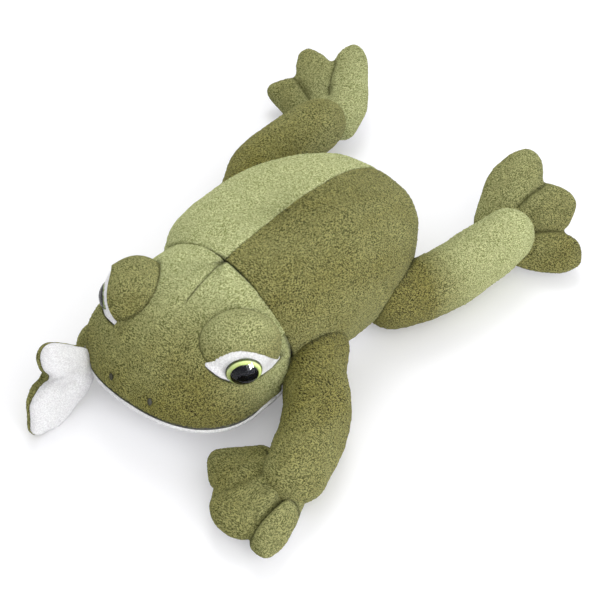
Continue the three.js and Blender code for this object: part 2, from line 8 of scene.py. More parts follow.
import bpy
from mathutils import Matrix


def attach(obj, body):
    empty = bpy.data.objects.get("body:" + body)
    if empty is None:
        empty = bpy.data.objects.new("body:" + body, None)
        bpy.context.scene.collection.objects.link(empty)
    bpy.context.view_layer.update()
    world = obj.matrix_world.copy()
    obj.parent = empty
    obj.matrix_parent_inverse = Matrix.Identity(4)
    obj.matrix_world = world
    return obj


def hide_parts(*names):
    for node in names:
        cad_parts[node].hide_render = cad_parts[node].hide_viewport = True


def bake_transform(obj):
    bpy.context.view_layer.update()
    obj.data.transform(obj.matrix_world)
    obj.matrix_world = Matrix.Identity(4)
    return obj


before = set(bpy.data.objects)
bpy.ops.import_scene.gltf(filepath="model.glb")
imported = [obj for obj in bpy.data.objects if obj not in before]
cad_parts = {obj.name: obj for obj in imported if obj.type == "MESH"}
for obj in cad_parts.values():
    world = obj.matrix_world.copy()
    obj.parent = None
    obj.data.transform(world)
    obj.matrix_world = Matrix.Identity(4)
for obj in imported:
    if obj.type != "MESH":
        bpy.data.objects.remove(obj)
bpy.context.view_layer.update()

# %% [markdown]
# ## Working with surfaces
# A soft toy is all curved cloth, so its pieces are made in mesh code. A surface is a pair:
# an array of points in millimetres and an array of triangles. Small helpers below loft rows of
# points into a surface, cut it along a line with a clean edge, and find its normals.
# Arrays are used because one line then moves forty thousand points at once.

# %% Helpers for surfaces
import math

import bpy
import numpy as np
from mathutils import Matrix, Vector, noise
from mathutils.kdtree import KDTree

MM = 0.001
scene = bpy.context.scene


def lofted(rows):
    """A surface through closed rows of points. A row of one point closes an end."""
    starts = np.cumsum([0] + [len(row) for row in rows])
    triangles = []
    for i in range(len(rows) - 1):
        first, second = len(rows[i]), len(rows[i + 1])
        j = np.arange(max(first, second))
        k = (j + 1) % len(j)
        a = starts[i] + j * (first > 1)
        b = starts[i] + k * (first > 1)
        c = starts[i + 1] + k * (second > 1)
        d = starts[i + 1] + j * (second > 1)
        if first > 1:
            triangles.append(np.stack([a, b, c], 1))
        if second > 1:
            triangles.append(np.stack([a, c, d], 1))
    return np.concatenate(rows), np.concatenate(triangles)


def full_turn(count):
    return np.linspace(0, 2 * math.pi, count, endpoint=False)


def facets(surface):
    """Each triangle's normal, twice as long as the triangle is large."""
    a, b, c = (surface[0][surface[1][:, k]] for k in range(3))
    return np.cross(b - a, c - a)


def corner_sums(surface, values):
    """Adds each triangle's value to its three corners."""
    total = np.zeros((len(surface[0]),) + values.shape[1:])
    for k in range(3):
        np.add.at(total, surface[1][:, k], values)
    return total


def outward(surface, centre=None):
    """Turns the triangles so that they face away from the centre."""
    points, triangles = surface
    middle = points.mean(0) if centre is None else np.asarray(centre, float)
    facing = ((points[triangles].mean(1) - middle) * facets(surface)).sum()
    return points, triangles if facing > 0 else triangles[:, ::-1].copy()


def normals(surface):
    total = corner_sums(surface, facets(surface))
    return total / np.maximum(np.linalg.norm(total, axis=1, keepdims=True), 1e-9)


def raised(surface, height):
    """Each point moved outwards by its own height."""
    return surface[0] + normals(surface) * height[:, None], surface[1]


def sides_of(triangles):
    """The two ends of every side of every triangle."""
    return np.concatenate([triangles[:, [k, (k + 1) % 3]] for k in range(3)])


def trimmed(surface, keep, *more):
    """The part of a surface where keep(points) is above zero. The points nearest to the
    line of the cut slide onto it, so that the edge is clean. Further cuts follow in turn."""
    points, triangles = surface
    value = np.array(keep(points), float)
    points = points.copy()
    sides = sides_of(triangles)
    sides = sides[value[sides[:, 0]] * value[sides[:, 1]] < 0]
    closer = np.abs(value[sides[:, 0]]) < np.abs(value[sides[:, 1]])
    near = np.where(closer, sides[:, 0], sides[:, 1])
    far = np.where(closer, sides[:, 1], sides[:, 0])
    share = value[near] / (value[near] - value[far])
    place = points[near] + share[:, None] * (points[far] - points[near])
    order = np.argsort(-share)
    points[near[order]] = place[order]
    value[near] = 0
    corners = value[triangles]
    triangles = triangles[(corners >= 0).all(1) & (corners > 0).any(1)]
    used, triangles = np.unique(triangles, return_inverse=True)
    rest = points[used], triangles.reshape(-1, 3)
    return trimmed(rest, *more) if more else rest


def rim_points(surface):
    points, triangles = surface
    sides = np.sort(sides_of(triangles), axis=1)
    code, count = np.unique(sides[:, 0] * len(points) + sides[:, 1], return_counts=True)
    single = code[count == 1]
    return np.unique(np.concatenate([single // len(points), single % len(points)]))


def tree_of(points):
    tree = KDTree(len(points))
    for i, point in enumerate(points):
        tree.insert(point, i)
    tree.balance()
    return tree


def rim_distance(surface, where=None):
    """How far each point lies from the surface's edge, and which edge point is nearest."""
    points = surface[0]
    rim = rim_points(surface)
    if where is not None:
        rim = rim[where(points[rim])]
    if not len(rim):
        return np.full(len(points), 1e3), np.zeros(len(points), int)
    tree = tree_of(points[rim])
    found = [tree.find(point) for point in points]
    return np.array([f[2] for f in found]), rim[[f[1] for f in found]]


def smoothed(surface, times, share=0.5):
    """Moves each point towards the middle of its neighbours."""
    points, triangles = surface
    sides = sides_of(triangles)
    count = np.bincount(sides.ravel(), minlength=len(points))
    for _ in range(times):
        total = np.zeros_like(points)
        np.add.at(total, sides[:, 0], points[sides[:, 1]])
        np.add.at(total, sides[:, 1], points[sides[:, 0]])
        points = points + share * (total / np.maximum(count, 1)[:, None] - points)
    return points, triangles


# %% [markdown]
# ## What stuffing and seams do to cloth
# Stuffing pushes a panel out and the thread holds its edges in, so a panel is lowest along
# its seams. Hand-stuffed cloth also has shallow dents of a few centimetres, and short puckers
# that run away from a seam. These could be painted as bump only, but then the silhouette would
# stay machine-smooth, so they are made in the mesh.

# %% Seams, dents and puckers


def drawn_in(surface, depth, reach, where=None):
    """Pulls a panel in along its edges, with small puckers beside the thread."""
    distance, nearest = rim_distance(surface, where)
    pucker = np.array([noise.noise(Vector(p) * 0.22) for p in surface[0][nearest]])
    pull = depth * np.exp(-distance / reach)
    pull += 0.35 * depth * pucker * np.exp(-distance / (3 * reach)) * (1 - np.exp(-distance / reach))
    return raised(surface, -pull)


def dented(surface, size, depth, seed=0.0):
    """Shallow dents and swellings of about one size."""
    shift = Vector((seed, 2.7 * seed, -1.3 * seed))
    wave = np.array([noise.noise(Vector(p) / size + shift) for p in surface[0]])
    return raised(surface, depth * wave)


def spacing(surface):
    """How far apart the points lie, at each point."""
    return np.sqrt(corner_sums(surface, np.linalg.norm(facets(surface), axis=1) / 6))


WIDE_ENOUGH = 0.5


def napped(surface, height, seed):
    """The uneven tips of a short pile, calm at an edge and where the points crowd together."""
    spread = np.random.default_rng(seed).normal(0, height, len(surface[0]))
    spread *= np.clip(spacing(surface) / WIDE_ENOUGH, 0, 1)
    spread[rim_points(surface)] = 0
    return raised(surface, spread)


def piece(name, surface, thickness=0.0, nap=None, seam=None):
    """A mesh object from a surface. With a thickness, the cloth gets it inwards, and never below the floor.
    The painted light says how lit each point is painted, from the plush's shaded colours at 0 to its lit ones
    at 1. The seam says how much painted shade darkens the groove where the thread pulls the cloth down."""
    points, triangles = surface
    mesh = bpy.data.meshes.new(name)
    mesh.from_pydata((points * MM).tolist(), [], triangles.tolist())
    for key, values in (("nap", nap), ("seam", seam)):
        if values is not None:
            layer = mesh.attributes.new(key, "FLOAT", "POINT")
            spread = np.broadcast_to(np.asarray(values, np.float32), len(points))
            layer.data.foreach_set("value", spread.copy())
    made = bpy.data.objects.new(name, mesh)
    scene.collection.objects.link(made)
    if thickness:
        solidify = made.modifiers.new("cloth", "SOLIDIFY")
        solidify.thickness = thickness * MM
        solidify.offset = -1
        bpy.context.view_layer.objects.active = made
        bpy.ops.object.modifier_apply(modifier=solidify.name)
    mesh = made.data
    places = np.zeros(len(mesh.vertices) * 3)
    mesh.vertices.foreach_get("co", places)
    places[2::3] = np.maximum(places[2::3], 0)
    mesh.vertices.foreach_set("co", places)
    mesh.polygons.foreach_set("use_smooth", [True] * len(mesh.polygons))
    mesh.update()
    print(f"{name}: {len(mesh.polygons)} faces")
    return made


def seam_line(surface, where=None, width=0.5):
    """One on the sewn edge, falling to nothing beside it."""
    return bell(rim_distance(surface, where)[0], width)


def bell(away, width):
    """One at nothing, falling to nothing at about twice the width."""
    return np.exp(-((away / width) ** 2))


def ramp(values, start, end, low=0.0, high=1.0):
    """Eases from low at start to high at end."""
    share = np.clip((values - start) / (end - start), 0, 1)
    return low + (high - low) * share * share * (3 - 2 * share)


# %% [markdown]
# ## The stuffed form
# Two cloth faces sewn round an outline and stuffed rise steeply at the seam and are nearly
# flat in the middle. One formula gives that: with s running from the middle out to the seam,
# the height is (1 - s^full)^(1/round). The same formula, read backwards, tells whether a point
# is inside the form, which is what the cuts between neighbours need.

# %% Stuffed forms


def power(value, exponent):
    return np.sign(value) * np.abs(value) ** exponent


def egg(middle, front, back, width, squareness):
    """An egg-shaped outline that reaches further at one end than at the other."""

    def plan(angle, grow=0.0):
        along = power(np.sin(angle), squareness)
        reach = np.where(along < 0, front, back)
        return (width / 2 + grow) * power(np.cos(angle), squareness), middle + (reach + grow) * along

    return plan


def reach_at(angle, x, y):
    """How far a closed curve lies from the middle, in each direction."""
    turn = np.arctan2(y, x)
    order = np.argsort(turn)
    return np.interp(angle, turn[order], np.hypot(x, y)[order], period=2 * math.pi)


class Stuffed:
    def __init__(self, plan, seam, upper, lower):
        self.plan, self.seam, self.faces = plan, seam, {"upper": upper, "lower": lower}

    def ring(self, face, angles, share):
        f = self.faces[face]
        x, y = self.plan(angles)
        rise = max(0.0, 1 - share ** f["full"]) ** (1 / f.get("round", 2))
        level = self.seam + f["height"] * rise
        middle_x, middle_y = f["apex"]
        return np.stack(
            [middle_x + (x - middle_x) * share, middle_y + (y - middle_y) * share, 0 * x + level], 1
        )

    def rows(self, name, around, steps):
        """Rings from the middle out to the seam. None crowd round the middle."""
        angles = full_turn(around) + math.pi / 2
        shares = np.sin(np.linspace(0, 1, steps + 1) * math.pi / 2)
        shares = np.concatenate([[0], shares[shares > 0.04]])
        rows = [self.ring(name, angles, share) for share in shares]
        return [rows[0][:1]] + rows[1:]

    def face(self, name, around, steps):
        """One face alone."""
        return outward(lofted(self.rows(name, around, steps)), (*self.faces[name]["apex"], self.seam))

    def surface(self, around, steps_up, steps_down):
        lower = self.rows("lower", around, steps_down)
        return outward(lofted(self.rows("upper", around, steps_up) + lower[:-1][::-1]))

    def gauge(self, points, grow=0.0):
        """Below zero inside the form, zero on it, above zero outside."""
        value = np.zeros(len(points))
        for face, side in (("upper", points[:, 2] >= self.seam), ("lower", points[:, 2] < self.seam)):
            f = self.faces[face]
            apex = np.array(f["apex"])
            edge = np.stack(self.plan(np.linspace(0, 2 * math.pi, 721), grow)) - apex[:, None]
            x, y = (points[side, :2] - apex).T
            share = np.hypot(x, y) / reach_at(np.arctan2(y, x), *edge)
            rise = np.abs(points[side, 2] - self.seam) / (abs(f["height"]) + grow)
            value[side] = share ** f["full"] + rise ** f.get("round", 2) - 1
        return value


trunk_form = Stuffed(
    egg(8, 84, 86, 124, 0.88),
    40,
    {"apex": (0, 8), "height": 34, "full": 2.4},
    {"apex": (0, 8), "height": -40.5, "full": 4.2},
)
head_form = Stuffed(
    egg(-77, 41, 200, 113, 0.86),
    20,
    {"apex": (0, -44), "height": 50, "full": 2},
    {"apex": (0, -74), "height": -20.5, "full": 2, "round": 1.25},
)
NECK = {"middle": np.array([-8.0, -66.0, 36.0]), "size": np.array([69.0, 43.2, 43.2])}
MOUTH_CORNER = -60.0
LIP = 20.0
BELLY_SEAM = 12.0
CLOTH = {
    "trunk": 1.8, "head": 1.8, "chin": 1.6, "throat": 1.8, "hood": 2.0, "white": 1.4,
    "limb": 1.6, "pad": 1.5, "mouth": 1.2, "glove": 0.8,
}


def behind_neck(points, grow=0.0):
    """Above zero behind the round face, shaped like a barrel, on which the head nods."""
    size = NECK["size"] + grow
    away = (np.linalg.norm((points - NECK["middle"]) / size, axis=1) - 1) * size[1]
    return np.where(points[:, 1] > MOUTH_CORNER, away, -30.0)


print("forms: trunk seam at", trunk_form.seam, "mm, head seam at", head_form.seam, "mm")

# %% [markdown]
# ## The trunk
# The back is two plush panels with a seam along the spine, and a white belly panel closes
# it underneath. All three are cut from one form, so that their edges meet exactly. In front the
# cloth is gathered onto the neck, which is narrower, so its edge curves in until it meets
# the head. The belly lies flat on the floor and has the hole for the hand.

# %% The trunk's panels


def onto_floor(surface):
    """Presses what hangs below the floor flat onto it."""
    return np.maximum(surface[0], (-np.inf, -np.inf, 0)), surface[1]


def gathered_neck(surface, width=20.0):
    """Moves the trunk's front edge in or out until it meets the head."""
    points = surface[0]
    distance, nearest = rim_distance(surface)
    rim = np.unique(nearest)
    inwards = -normals(surface)[rim]
    inwards[:, 1] *= 0.2
    lowest, highest = -6, 20
    depth = np.full(len(rim), float(lowest))
    for step in np.arange(lowest, highest, 0.1):
        outside = head_form.gauge(points[rim] + inwards * step, -0.4) > 0
        depth[outside] = step
    pull = np.zeros(len(points))
    pull[rim] = depth
    ease = np.clip(1 - distance / width, 0, 1) ** 2
    moved = points - normals(surface) * (pull[nearest] * ease)[:, None] * np.array([1, 0.2, 1])
    return moved, surface[1]


OPENING = {"middle": 39.0, "length": 56.0, "width": 68.0}


def round_opening(points, grow=0.0):
    """Above zero outside the hole in the belly."""
    x = np.abs(points[:, 0]) / (OPENING["width"] / 2 + grow)
    y = np.abs(points[:, 1] - OPENING["middle"]) / (OPENING["length"] / 2 + grow)
    return x**2.5 + y**2.5 - 1


trunk = trimmed(trunk_form.surface(320, 95, 60), lambda p: behind_neck(p, -0.5))
trunk = gathered_neck(trunk)
trunk = dented(dented(trunk, 34, 1.5, 1.0), 13, 0.45, 5.0)
trunk = onto_floor(trunk)
back = trimmed(trunk, lambda p: p[:, 2] - BELLY_SEAM)
panels = {
    "back_left": trimmed(back, lambda p: p[:, 0]),
    "back_right": trimmed(back, lambda p: -p[:, 0]),
    "belly": trimmed(trunk, lambda p: BELLY_SEAM - p[:, 2], round_opening),
}
pieces = {}
# Painted light per panel: the left back panel takes mostly the shaded colours, the right one the lit colours,
# and the belly lies between.
BACK_PAINTED_LIGHT = {"back_left": 0.14, "back_right": 0.98, "belly": 0.5}


def along_neck(points):
    return behind_neck(points, 1.5) < 0


for name, panel in panels.items():
    # Painted shade along every seam, stronger where the trunk meets the head.
    line = np.maximum(0.2 * seam_line(panel), 0.8 * seam_line(panel, along_neck))
    panel = drawn_in(panel, 0.5, 1.2)
    panel = napped(drawn_in(panel, 0.7, 1.2, lambda p: behind_neck(p, 2.5) < 0), 0.15, len(name))
    pieces[name] = piece(name + "_panel", onto_floor(panel), CLOTH["trunk"], BACK_PAINTED_LIGHT[name], line)

# %% [markdown]
# ## The hole in the belly, its hem and the glove inside
# A hand goes in through an oval hole. Its edge is turned round a cord and stitched, which
# makes a soft roll, and behind it a cloth glove keeps the fingers out of the stuffing. The glove
# is seen only through the hole, so it is a plain lined room with a sleeve to the neck.

# %% Hem and glove


def oval_row(middle, length, width, level, count, squareness=0.8):
    angle = full_turn(count)
    x = width / 2 * power(np.cos(angle), squareness)
    y = middle + length / 2 * power(np.sin(angle), squareness)
    return np.stack([x, y, 0 * x + level], 1)


def hem_surface(roll=2.6, around=220, turns=18):
    rows = []
    for turn in full_turn(turns):
        inner = 2 * roll * (1 - math.cos(turn)) - 0.6
        length, width = OPENING["length"] - inner, OPENING["width"] - inner
        level = roll * (1.12 + math.sin(turn))
        rows.append(oval_row(OPENING["middle"], length, width, level, around))
    points, triangles = lofted(rows + [rows[0]])
    count = turns * around
    return outward((points[:count], triangles % count))


STITCHES = 44
hem = hem_surface()
stitch = np.sin(np.arctan2(hem[0][:, 1] - OPENING["middle"], hem[0][:, 0]) * STITCHES)
pieces["hem"] = piece("opening_hem_roll", raised(hem, -0.25 * np.clip(stitch, 0, 1)))

ROOM = {"middle": 21, "half": 45, "width": 84, "low": 6, "height": 42, "seam": 0.45}
SLEEVE = {"level": 25, "width": 66, "height": 38, "front": -34}
FRONT_WALL = 2
LOW_WALL = 20
room_form = Stuffed(
    egg(ROOM["middle"], ROOM["half"], ROOM["half"], ROOM["width"], 0.7),
    ROOM["low"] + ROOM["height"] * ROOM["seam"],
    {"apex": (0, ROOM["middle"]), "height": ROOM["height"] * (1 - ROOM["seam"]), "full": 2.6},
    {"apex": (0, ROOM["middle"]), "height": -ROOM["height"] * ROOM["seam"], "full": 4},
)


def in_sleeve(points):
    """Below zero inside the sleeve that runs forward into the head."""
    x = np.abs(points[:, 0]) / (SLEEVE["width"] / 2)
    z = np.abs(points[:, 2] - SLEEVE["level"]) / (SLEEVE["height"] / 2)
    return x**2.5 + z**2.5 - 1


room = trimmed(
    room_form.surface(160, 40, 30),
    lambda p: np.where(p[:, 1] < FRONT_WALL, in_sleeve(p), 1.0),
    lambda p: np.where(p[:, 2] < LOW_WALL, round_opening(p, 0.5), 1.0),
)
rows = []
for y in np.linspace(SLEEVE["front"], 0, 26):
    row = oval_row(SLEEVE["level"], SLEEVE["height"], SLEEVE["width"], 0, 120)
    rows.append(np.stack([row[:, 0], 0 * row[:, 0] + y, row[:, 1]], 1))
sleeve = outward(lofted(rows), (0, -17, SLEEVE["level"]))
sleeve = trimmed(sleeve, lambda p: room_form.gauge(p, 0.6), lambda p: behind_neck(p, 1.5))
glove = np.concatenate([room[0], sleeve[0]]), np.concatenate([room[1], sleeve[1] + len(room[0])])
pieces["glove"] = piece("glove_room", dented(glove, 11, 1.0, 3.0), CLOTH["glove"])

# %% [markdown]
# ## The head
# One green panel covers the head down to the lip. A dart is sewn along its middle behind the
# eyes, to round the crown. Two mounds carry the eyes, each with a hooded lid over an
# almond of white plush, and the chin underneath is white. The mounds and the almonds are cut
# out of the head panel, so that real seams run round them.

# %% Where the eyes sit
MOUND_SIZE = np.array([22.5, 17.8, 18.8])
MOUNDS = {
    "left": {"at": (36.8, -69.4, 52.0), "facing": 50.0, "seat": 16.8},
    "right": {"at": (-31.2, -76.8, 52.3), "facing": 52.0, "seat": 14.2},
}
SIGN = {"left": 1, "right": -1}
EYE_RISE = 9.0
EYE_DROP = 6.0
EYE_TIP = -13.0
ALMOND = {
    "left": dict(half=21.6, above=15.0, below=6.0, drop=8.0, shift=1.2, tilt=-13.0, full=2.4, lean=0.2),
    "right": dict(half=22.0, above=18.5, below=3.5, drop=7.0, shift=0.0, tilt=5.0, full=2.0, lean=0.0),
}


def eye_frame(side):
    """The eye's own axes as columns, across, high and look, and the mound's middle."""
    flat, rise = math.radians(MOUNDS[side]["facing"]), math.radians(EYE_RISE)
    level = math.cos(rise)
    look = np.array([SIGN[side] * math.sin(flat) * level, -math.cos(flat) * level, math.sin(rise)])
    across = np.cross([0, 0, 1], look)
    across /= np.linalg.norm(across)
    return np.stack([across, np.cross(look, across), look], 1), np.array(MOUNDS[side]["at"])


def eye_turn(side):
    """The plastic eye's axes. It looks a little lower than the mound."""
    tip = math.radians(EYE_TIP)
    across, high, look = eye_frame(side)[0].T
    lower = look * math.cos(tip) + high * math.sin(tip)
    return np.stack([across, np.cross(lower, across), lower], 1)


def eye_seat(side):
    """Where the plastic eye sits, in millimetres."""
    axes, middle = eye_frame(side)
    return middle + axes @ np.array([0, -EYE_DROP, MOUNDS[side]["seat"]])


def eye_place(points, side):
    axes, middle = eye_frame(side)
    return (points - middle) @ axes


def mound_gauge(points, side, grow=0.0):
    return ((eye_place(points, side) / (MOUND_SIZE + grow)) ** 2).sum(1) - 1


def almond(points, side, grow=0.0, longer=0.0):
    """Above zero outside the almond of the eye white, seen along the way the eye looks."""
    cut, local = ALMOND[side], eye_place(points, side)
    tilt = math.radians(cut["tilt"])
    across, high = local[:, 0] - cut["shift"], local[:, 1] + cut["drop"]
    x = across * math.cos(tilt) + high * math.sin(tilt)
    y = high * math.cos(tilt) - across * math.sin(tilt)
    share = x / (cut["half"] + grow + longer)
    lean = 1 - cut["lean"] * np.sign(y) * np.clip(share, -1, 1)
    tall = np.where(y > 0, cut["above"], cut["below"]) * lean
    value = np.abs(y) / (tall + grow) + np.abs(share) ** cut["full"] - 1
    return np.where(local[:, 2] > -3, value, 1.0)


# %% The head's panels
DART = {"start": -40.0, "end": -78.0, "lean": 4.0}
NOSTRIL = {"x": 14.2, "z": 28.4}


def nostril_place(side):
    """The point of the snout that carries a nostril."""
    y = np.arange(-125, -95, 0.1)
    line = np.stack([0 * y + SIGN[side] * NOSTRIL["x"], y, 0 * y + NOSTRIL["z"]], 1)
    return line[np.argmin(np.abs(head_form.gauge(line)))]


def face_marks(points):
    """How deep the dart behind the eyes and the two dimples of the nostrils lie."""
    share = (points[:, 1] - DART["start"]) / (DART["end"] - DART["start"])
    dart = bell(points[:, 0] - DART["lean"] * share, 0.8) * ramp(share, 1, 0.85)
    dimple = sum(bell(np.linalg.norm(points - nostril_place(side), axis=1), 3.4) for side in SIGN)
    return dart * (points[:, 2] > 50), dimple


cover = trimmed(head_form.face("upper", 360, 120), lambda p: -behind_neck(p))
for side in SIGN:
    cover = trimmed(cover, lambda p: mound_gauge(p, side, -0.4), lambda p: almond(p, side))
dart, dimple = face_marks(cover[0])
# Painted shade along the head panel's seams and in the dart.
line = np.maximum(0.8 * seam_line(cover), 0.75 * dart**2)
cover = drawn_in(cover, 1.0, 1.1)
cover = raised(cover, -(0.9 * dart + 1.3 * dimple))
calm = ramp(cover[0][:, 2], LIP, LIP + 8)
rough = dented(dented(cover, 30, 0.7, 9.0), 12, 0.25, 2.0)
cover = cover[0] + (rough[0] - cover[0]) * calm[:, None], cover[1]
cover = napped(cover, 0.15, 11)
# Painted light on the head: lit towards the back of the head, with painted shade towards the snout, lower
# down and towards +X.
nap = ramp(cover[0][:, 1], -106, -50, 0.24, 1.04) - ramp(cover[0][:, 2], 48, 24, 0, 0.16)
nap -= ramp(cover[0][:, 0], -10, 40, 0, 0.2)
pieces["head"] = piece("head_panel", cover, CLOTH["head"], nap, line)

# %% The chin and the throat
LIP_ROLL = 2.6
CHIN_END = -62.0
BEHIND_MOUTH = -50.0


def chin_surface():
    """The white underside. In front its upper edge is a soft roll that shows as a lip."""
    points, triangles = head_form.face("lower", 360, 70)
    side = normals((points, triangles))
    side[:, 2] = 0
    side /= np.maximum(np.linalg.norm(side, axis=1, keepdims=True), 0.2)
    below = np.clip((LIP - points[:, 2]) / LIP_ROLL, 0, 1)
    roll = np.sqrt(1 - (1 - below) ** 2) * ramp(points[:, 2], 4, 14, 0.3, 1)
    front = ramp(points[:, 1], MOUTH_CORNER + 12, MOUTH_CORNER - 4)
    out = 1.9 * roll * front - 1.0 * (1 - below) * front
    points = points + side * out[:, None]
    under = trimmed((points, triangles), lambda p: -behind_neck(p))
    return onto_floor(under)


under = chin_surface()
chin = napped(trimmed(under, lambda p: CHIN_END - p[:, 1]), 0.16, 5)
pieces["chin"] = piece("chin_panel", onto_floor(chin), CLOTH["chin"], 0.5, 0.0)
throat = trimmed(under, lambda p: p[:, 1] - CHIN_END)
# Painted shade in the seam behind the mouth.
line = seam_line(throat, lambda p: p[:, 1] > BEHIND_MOUTH)
throat = napped(drawn_in(throat, 0.9, 1.3, lambda p: p[:, 1] > BEHIND_MOUTH), 0.12, 6)
pieces["throat"] = piece("throat_panel_cloth", onto_floor(throat), CLOTH["throat"], 0.5, line)

# %% [markdown]
# ## The mouth
# Between head and chin lie two thin sheets of dark cloth, the roof and the floor of the
# mouth. The puppeteer opens them with a hand inside, and a stiff plate behind each keeps it flat.

# %% Roof and floor of the mouth


def mouth_sheet(level, inset, back_edge):
    angles = full_turn(200)
    x, y = head_form.plan(angles, -inset)
    middle = head_form.faces["lower"]["apex"][1]
    x = x * ramp(y, -82, -62, 1, 0.96)
    shares = np.linspace(0, 1, 46)
    rows = [np.stack([x * k, middle + (y - middle) * k, 0 * x + level], 1) for k in shares]
    rows[0] = rows[0][:1]
    return trimmed(outward(lofted(rows), (0, middle, level - 50)), lambda p: back_edge - p[:, 1])


roof = mouth_sheet(LIP - 0.1, 0.1, -59.0)
roof = roof[0], roof[1][:, ::-1].copy()
pieces["roof"] = piece("mouth_roof", dented(roof, 9, 0.25, 4.0), CLOTH["mouth"])
bed = mouth_sheet(LIP - 0.4, 2.6, -60.3)
pieces["floor"] = piece("mouth_bed", dented(bed, 9, 0.2, 6.0), CLOTH["mouth"])

# %% [markdown]
# ## Eye mounds, lids and whites
# The hood is the part of the mound that stands out of the head, less the almond. Its edge
# over the eye is a fold of plush, thicker than the cloth, so it keeps its height there and
# throws a shadow on the white. The white is a patch that follows whichever is in front,
# the mound or the face below it, and its edge dips under the lids.

# %% Hoods and whites


def ball_surface(side, around=260, steps=130):
    axes, middle = eye_frame(side)
    angle = full_turn(around)
    rows = []
    for tilt in np.linspace(0, math.pi, steps):
        across, up = math.sin(tilt), math.cos(tilt)
        ring = np.stack([np.cos(angle) * across, np.sin(angle) * across, 0 * angle + up], 1)
        rows.append((ring * MOUND_SIZE) @ axes.T + middle)
    rows[0], rows[-1] = rows[0][:1], rows[-1][:1]
    return outward(lofted(rows), middle)


def white_surface(side, grow=1.2, step=0.55, drop=0.25):
    """A patch over the almond, dropped along the eye's axis onto mound and face."""
    axes, middle = eye_frame(side)
    a, h = np.meshgrid(np.arange(-26, 28.1, step), np.arange(-21, 16.1, step))
    flat = np.stack([a.ravel(), h.ravel()], 1)
    depth = np.full(len(flat), 40.0)
    moving = np.ones(len(flat), bool)
    for _ in range(220):
        place = np.column_stack([flat[moving], depth[moving]]) @ axes.T + middle
        outside = (head_form.gauge(place, -0.6) > 0) & (mound_gauge(place, side, -0.8) > 0)
        index = np.flatnonzero(moving)
        moving[index[~outside]] = False
        depth[index[outside]] -= drop
    points = np.column_stack([flat, depth]) @ axes.T + middle
    index = np.arange(a.size).reshape(a.shape)
    p, q, r, s = (x.ravel() for x in (index[:-1, :-1], index[:-1, 1:], index[1:, 1:], index[1:, :-1]))
    triangles = np.concatenate([np.stack([p, q, r], 1), np.stack([p, r, s], 1)])
    patch = smoothed(trimmed((points, triangles), lambda v: -almond(v, side, grow, 1.5)), 14)
    under = ramp(almond(patch[0], side), -0.02, 0.08, 0, 1.4)
    return outward((patch[0] - under[:, None] * axes[:, 2], patch[1]), middle - axes[:, 2] * 20)


HOOD_PAINTED_LIGHT = {"left": (0.22, 0.42), "right": (0.12, 0.14)}
for side in SIGN:
    hood = ball_surface(side)
    hood = trimmed(hood, lambda p: head_form.gauge(p, -1.3), lambda p: almond(p, side, -0.3))
    # Painted shade in the seam where the hood meets the head.
    line = bell(head_form.gauge(hood[0]) * 30, 0.8)
    hood = drawn_in(hood, -0.8, 2.0, lambda p: almond(p, side, 2.0) < 0)
    hood = napped(dented(hood, 14, 0.3, SIGN[side] * 3.0), 0.06, 20 + SIGN[side])
    low, rise = HOOD_PAINTED_LIGHT[side]
    # Painted light on the hood, lighter towards its top.
    nap = low + ramp(hood[0][:, 2], 54, 70, 0, rise)
    pieces["hood_" + side] = piece(f"eye_hood_{side}", hood, CLOTH["hood"], nap, 0.6 * line)
    white = napped(dented(white_surface(side), 8, 0.25, 2.0), 0.09, 30 + SIGN[side])
    pieces["white_" + side] = piece(f"eye_patch_{side}", white, CLOTH["white"], 0.5, 0.0)

# %% [markdown]
# ## Arms and legs
# A limb is a tube of plush sewn along one side and stuffed, so it swells between its ends
# and is a little flattened where it lies on the floor. It is lofted along a smooth path with
# rings square to it, and cut where it meets the trunk.

# %% Limbs


def along_path(path, count):
    """Points and directions on a smooth curve through the path, spaced by a half cosine."""
    p = np.array(path, float)
    p = np.concatenate([[2 * p[0] - p[1]], p, [2 * p[-1] - p[-2]]])
    fine = []
    for i in range(len(p) - 3):
        x0, x1, x2, x3 = p[i : i + 4]
        d0, d1, d2 = (max(np.linalg.norm(b - a) ** 0.5, 1e-4) for a, b in ((x0, x1), (x1, x2), (x2, x3)))
        t1 = ((x1 - x0) / d0 - (x2 - x0) / (d0 + d1) + (x2 - x1) / d1) * d1
        t2 = ((x2 - x1) / d1 - (x3 - x1) / (d1 + d2) + (x3 - x2) / d2) * d1
        u = np.linspace(0, 1, 60, endpoint=i == len(p) - 4)[:, None]
        square, cube = -3 * x1 + 3 * x2 - 2 * t1 - t2, 2 * x1 - 2 * x2 + t1 + t2
        fine.append(x1 + t1 * u + square * u**2 + cube * u**3)
    fine = np.concatenate(fine)
    length = np.concatenate([[0], np.cumsum(np.linalg.norm(np.diff(fine, axis=0), axis=1))])
    share = 0.5 - 0.5 * np.cos(np.linspace(0, math.pi, count))
    centre = np.stack([np.interp(share * length[-1], length, fine[:, k]) for k in range(3)], 1)
    ahead = np.gradient(centre, axis=0)
    return share, centre, ahead / np.linalg.norm(ahead, axis=1, keepdims=True)


def bulge(values, t):
    start, middle, end = values
    return start * (1 - t) ** 2 + 2 * middle * t * (1 - t) + end * t**2


def limb_surface(path, wide, tall, around=110, count=150, round_end=0.14):
    share, centre, ahead = along_path(path, count)
    angle = full_turn(around)
    rows = []
    for t, middle, forward in zip(share, centre, ahead):
        side = np.cross(forward, (0, 0, 1))
        side /= np.linalg.norm(side)
        lift = np.cross(side, forward)
        near = min(1, min(t, 1 - t) / round_end)
        size = math.sqrt(max(0, 1 - (1 - near) ** 2))
        rows.append(
            middle
            + np.outer(np.cos(angle), side) * bulge(wide, t) * size
            + np.outer(np.sin(angle), lift) * bulge(tall, t) * size
        )
    rows[0], rows[-1] = centre[:1], centre[-1:]
    return outward(lofted(rows))


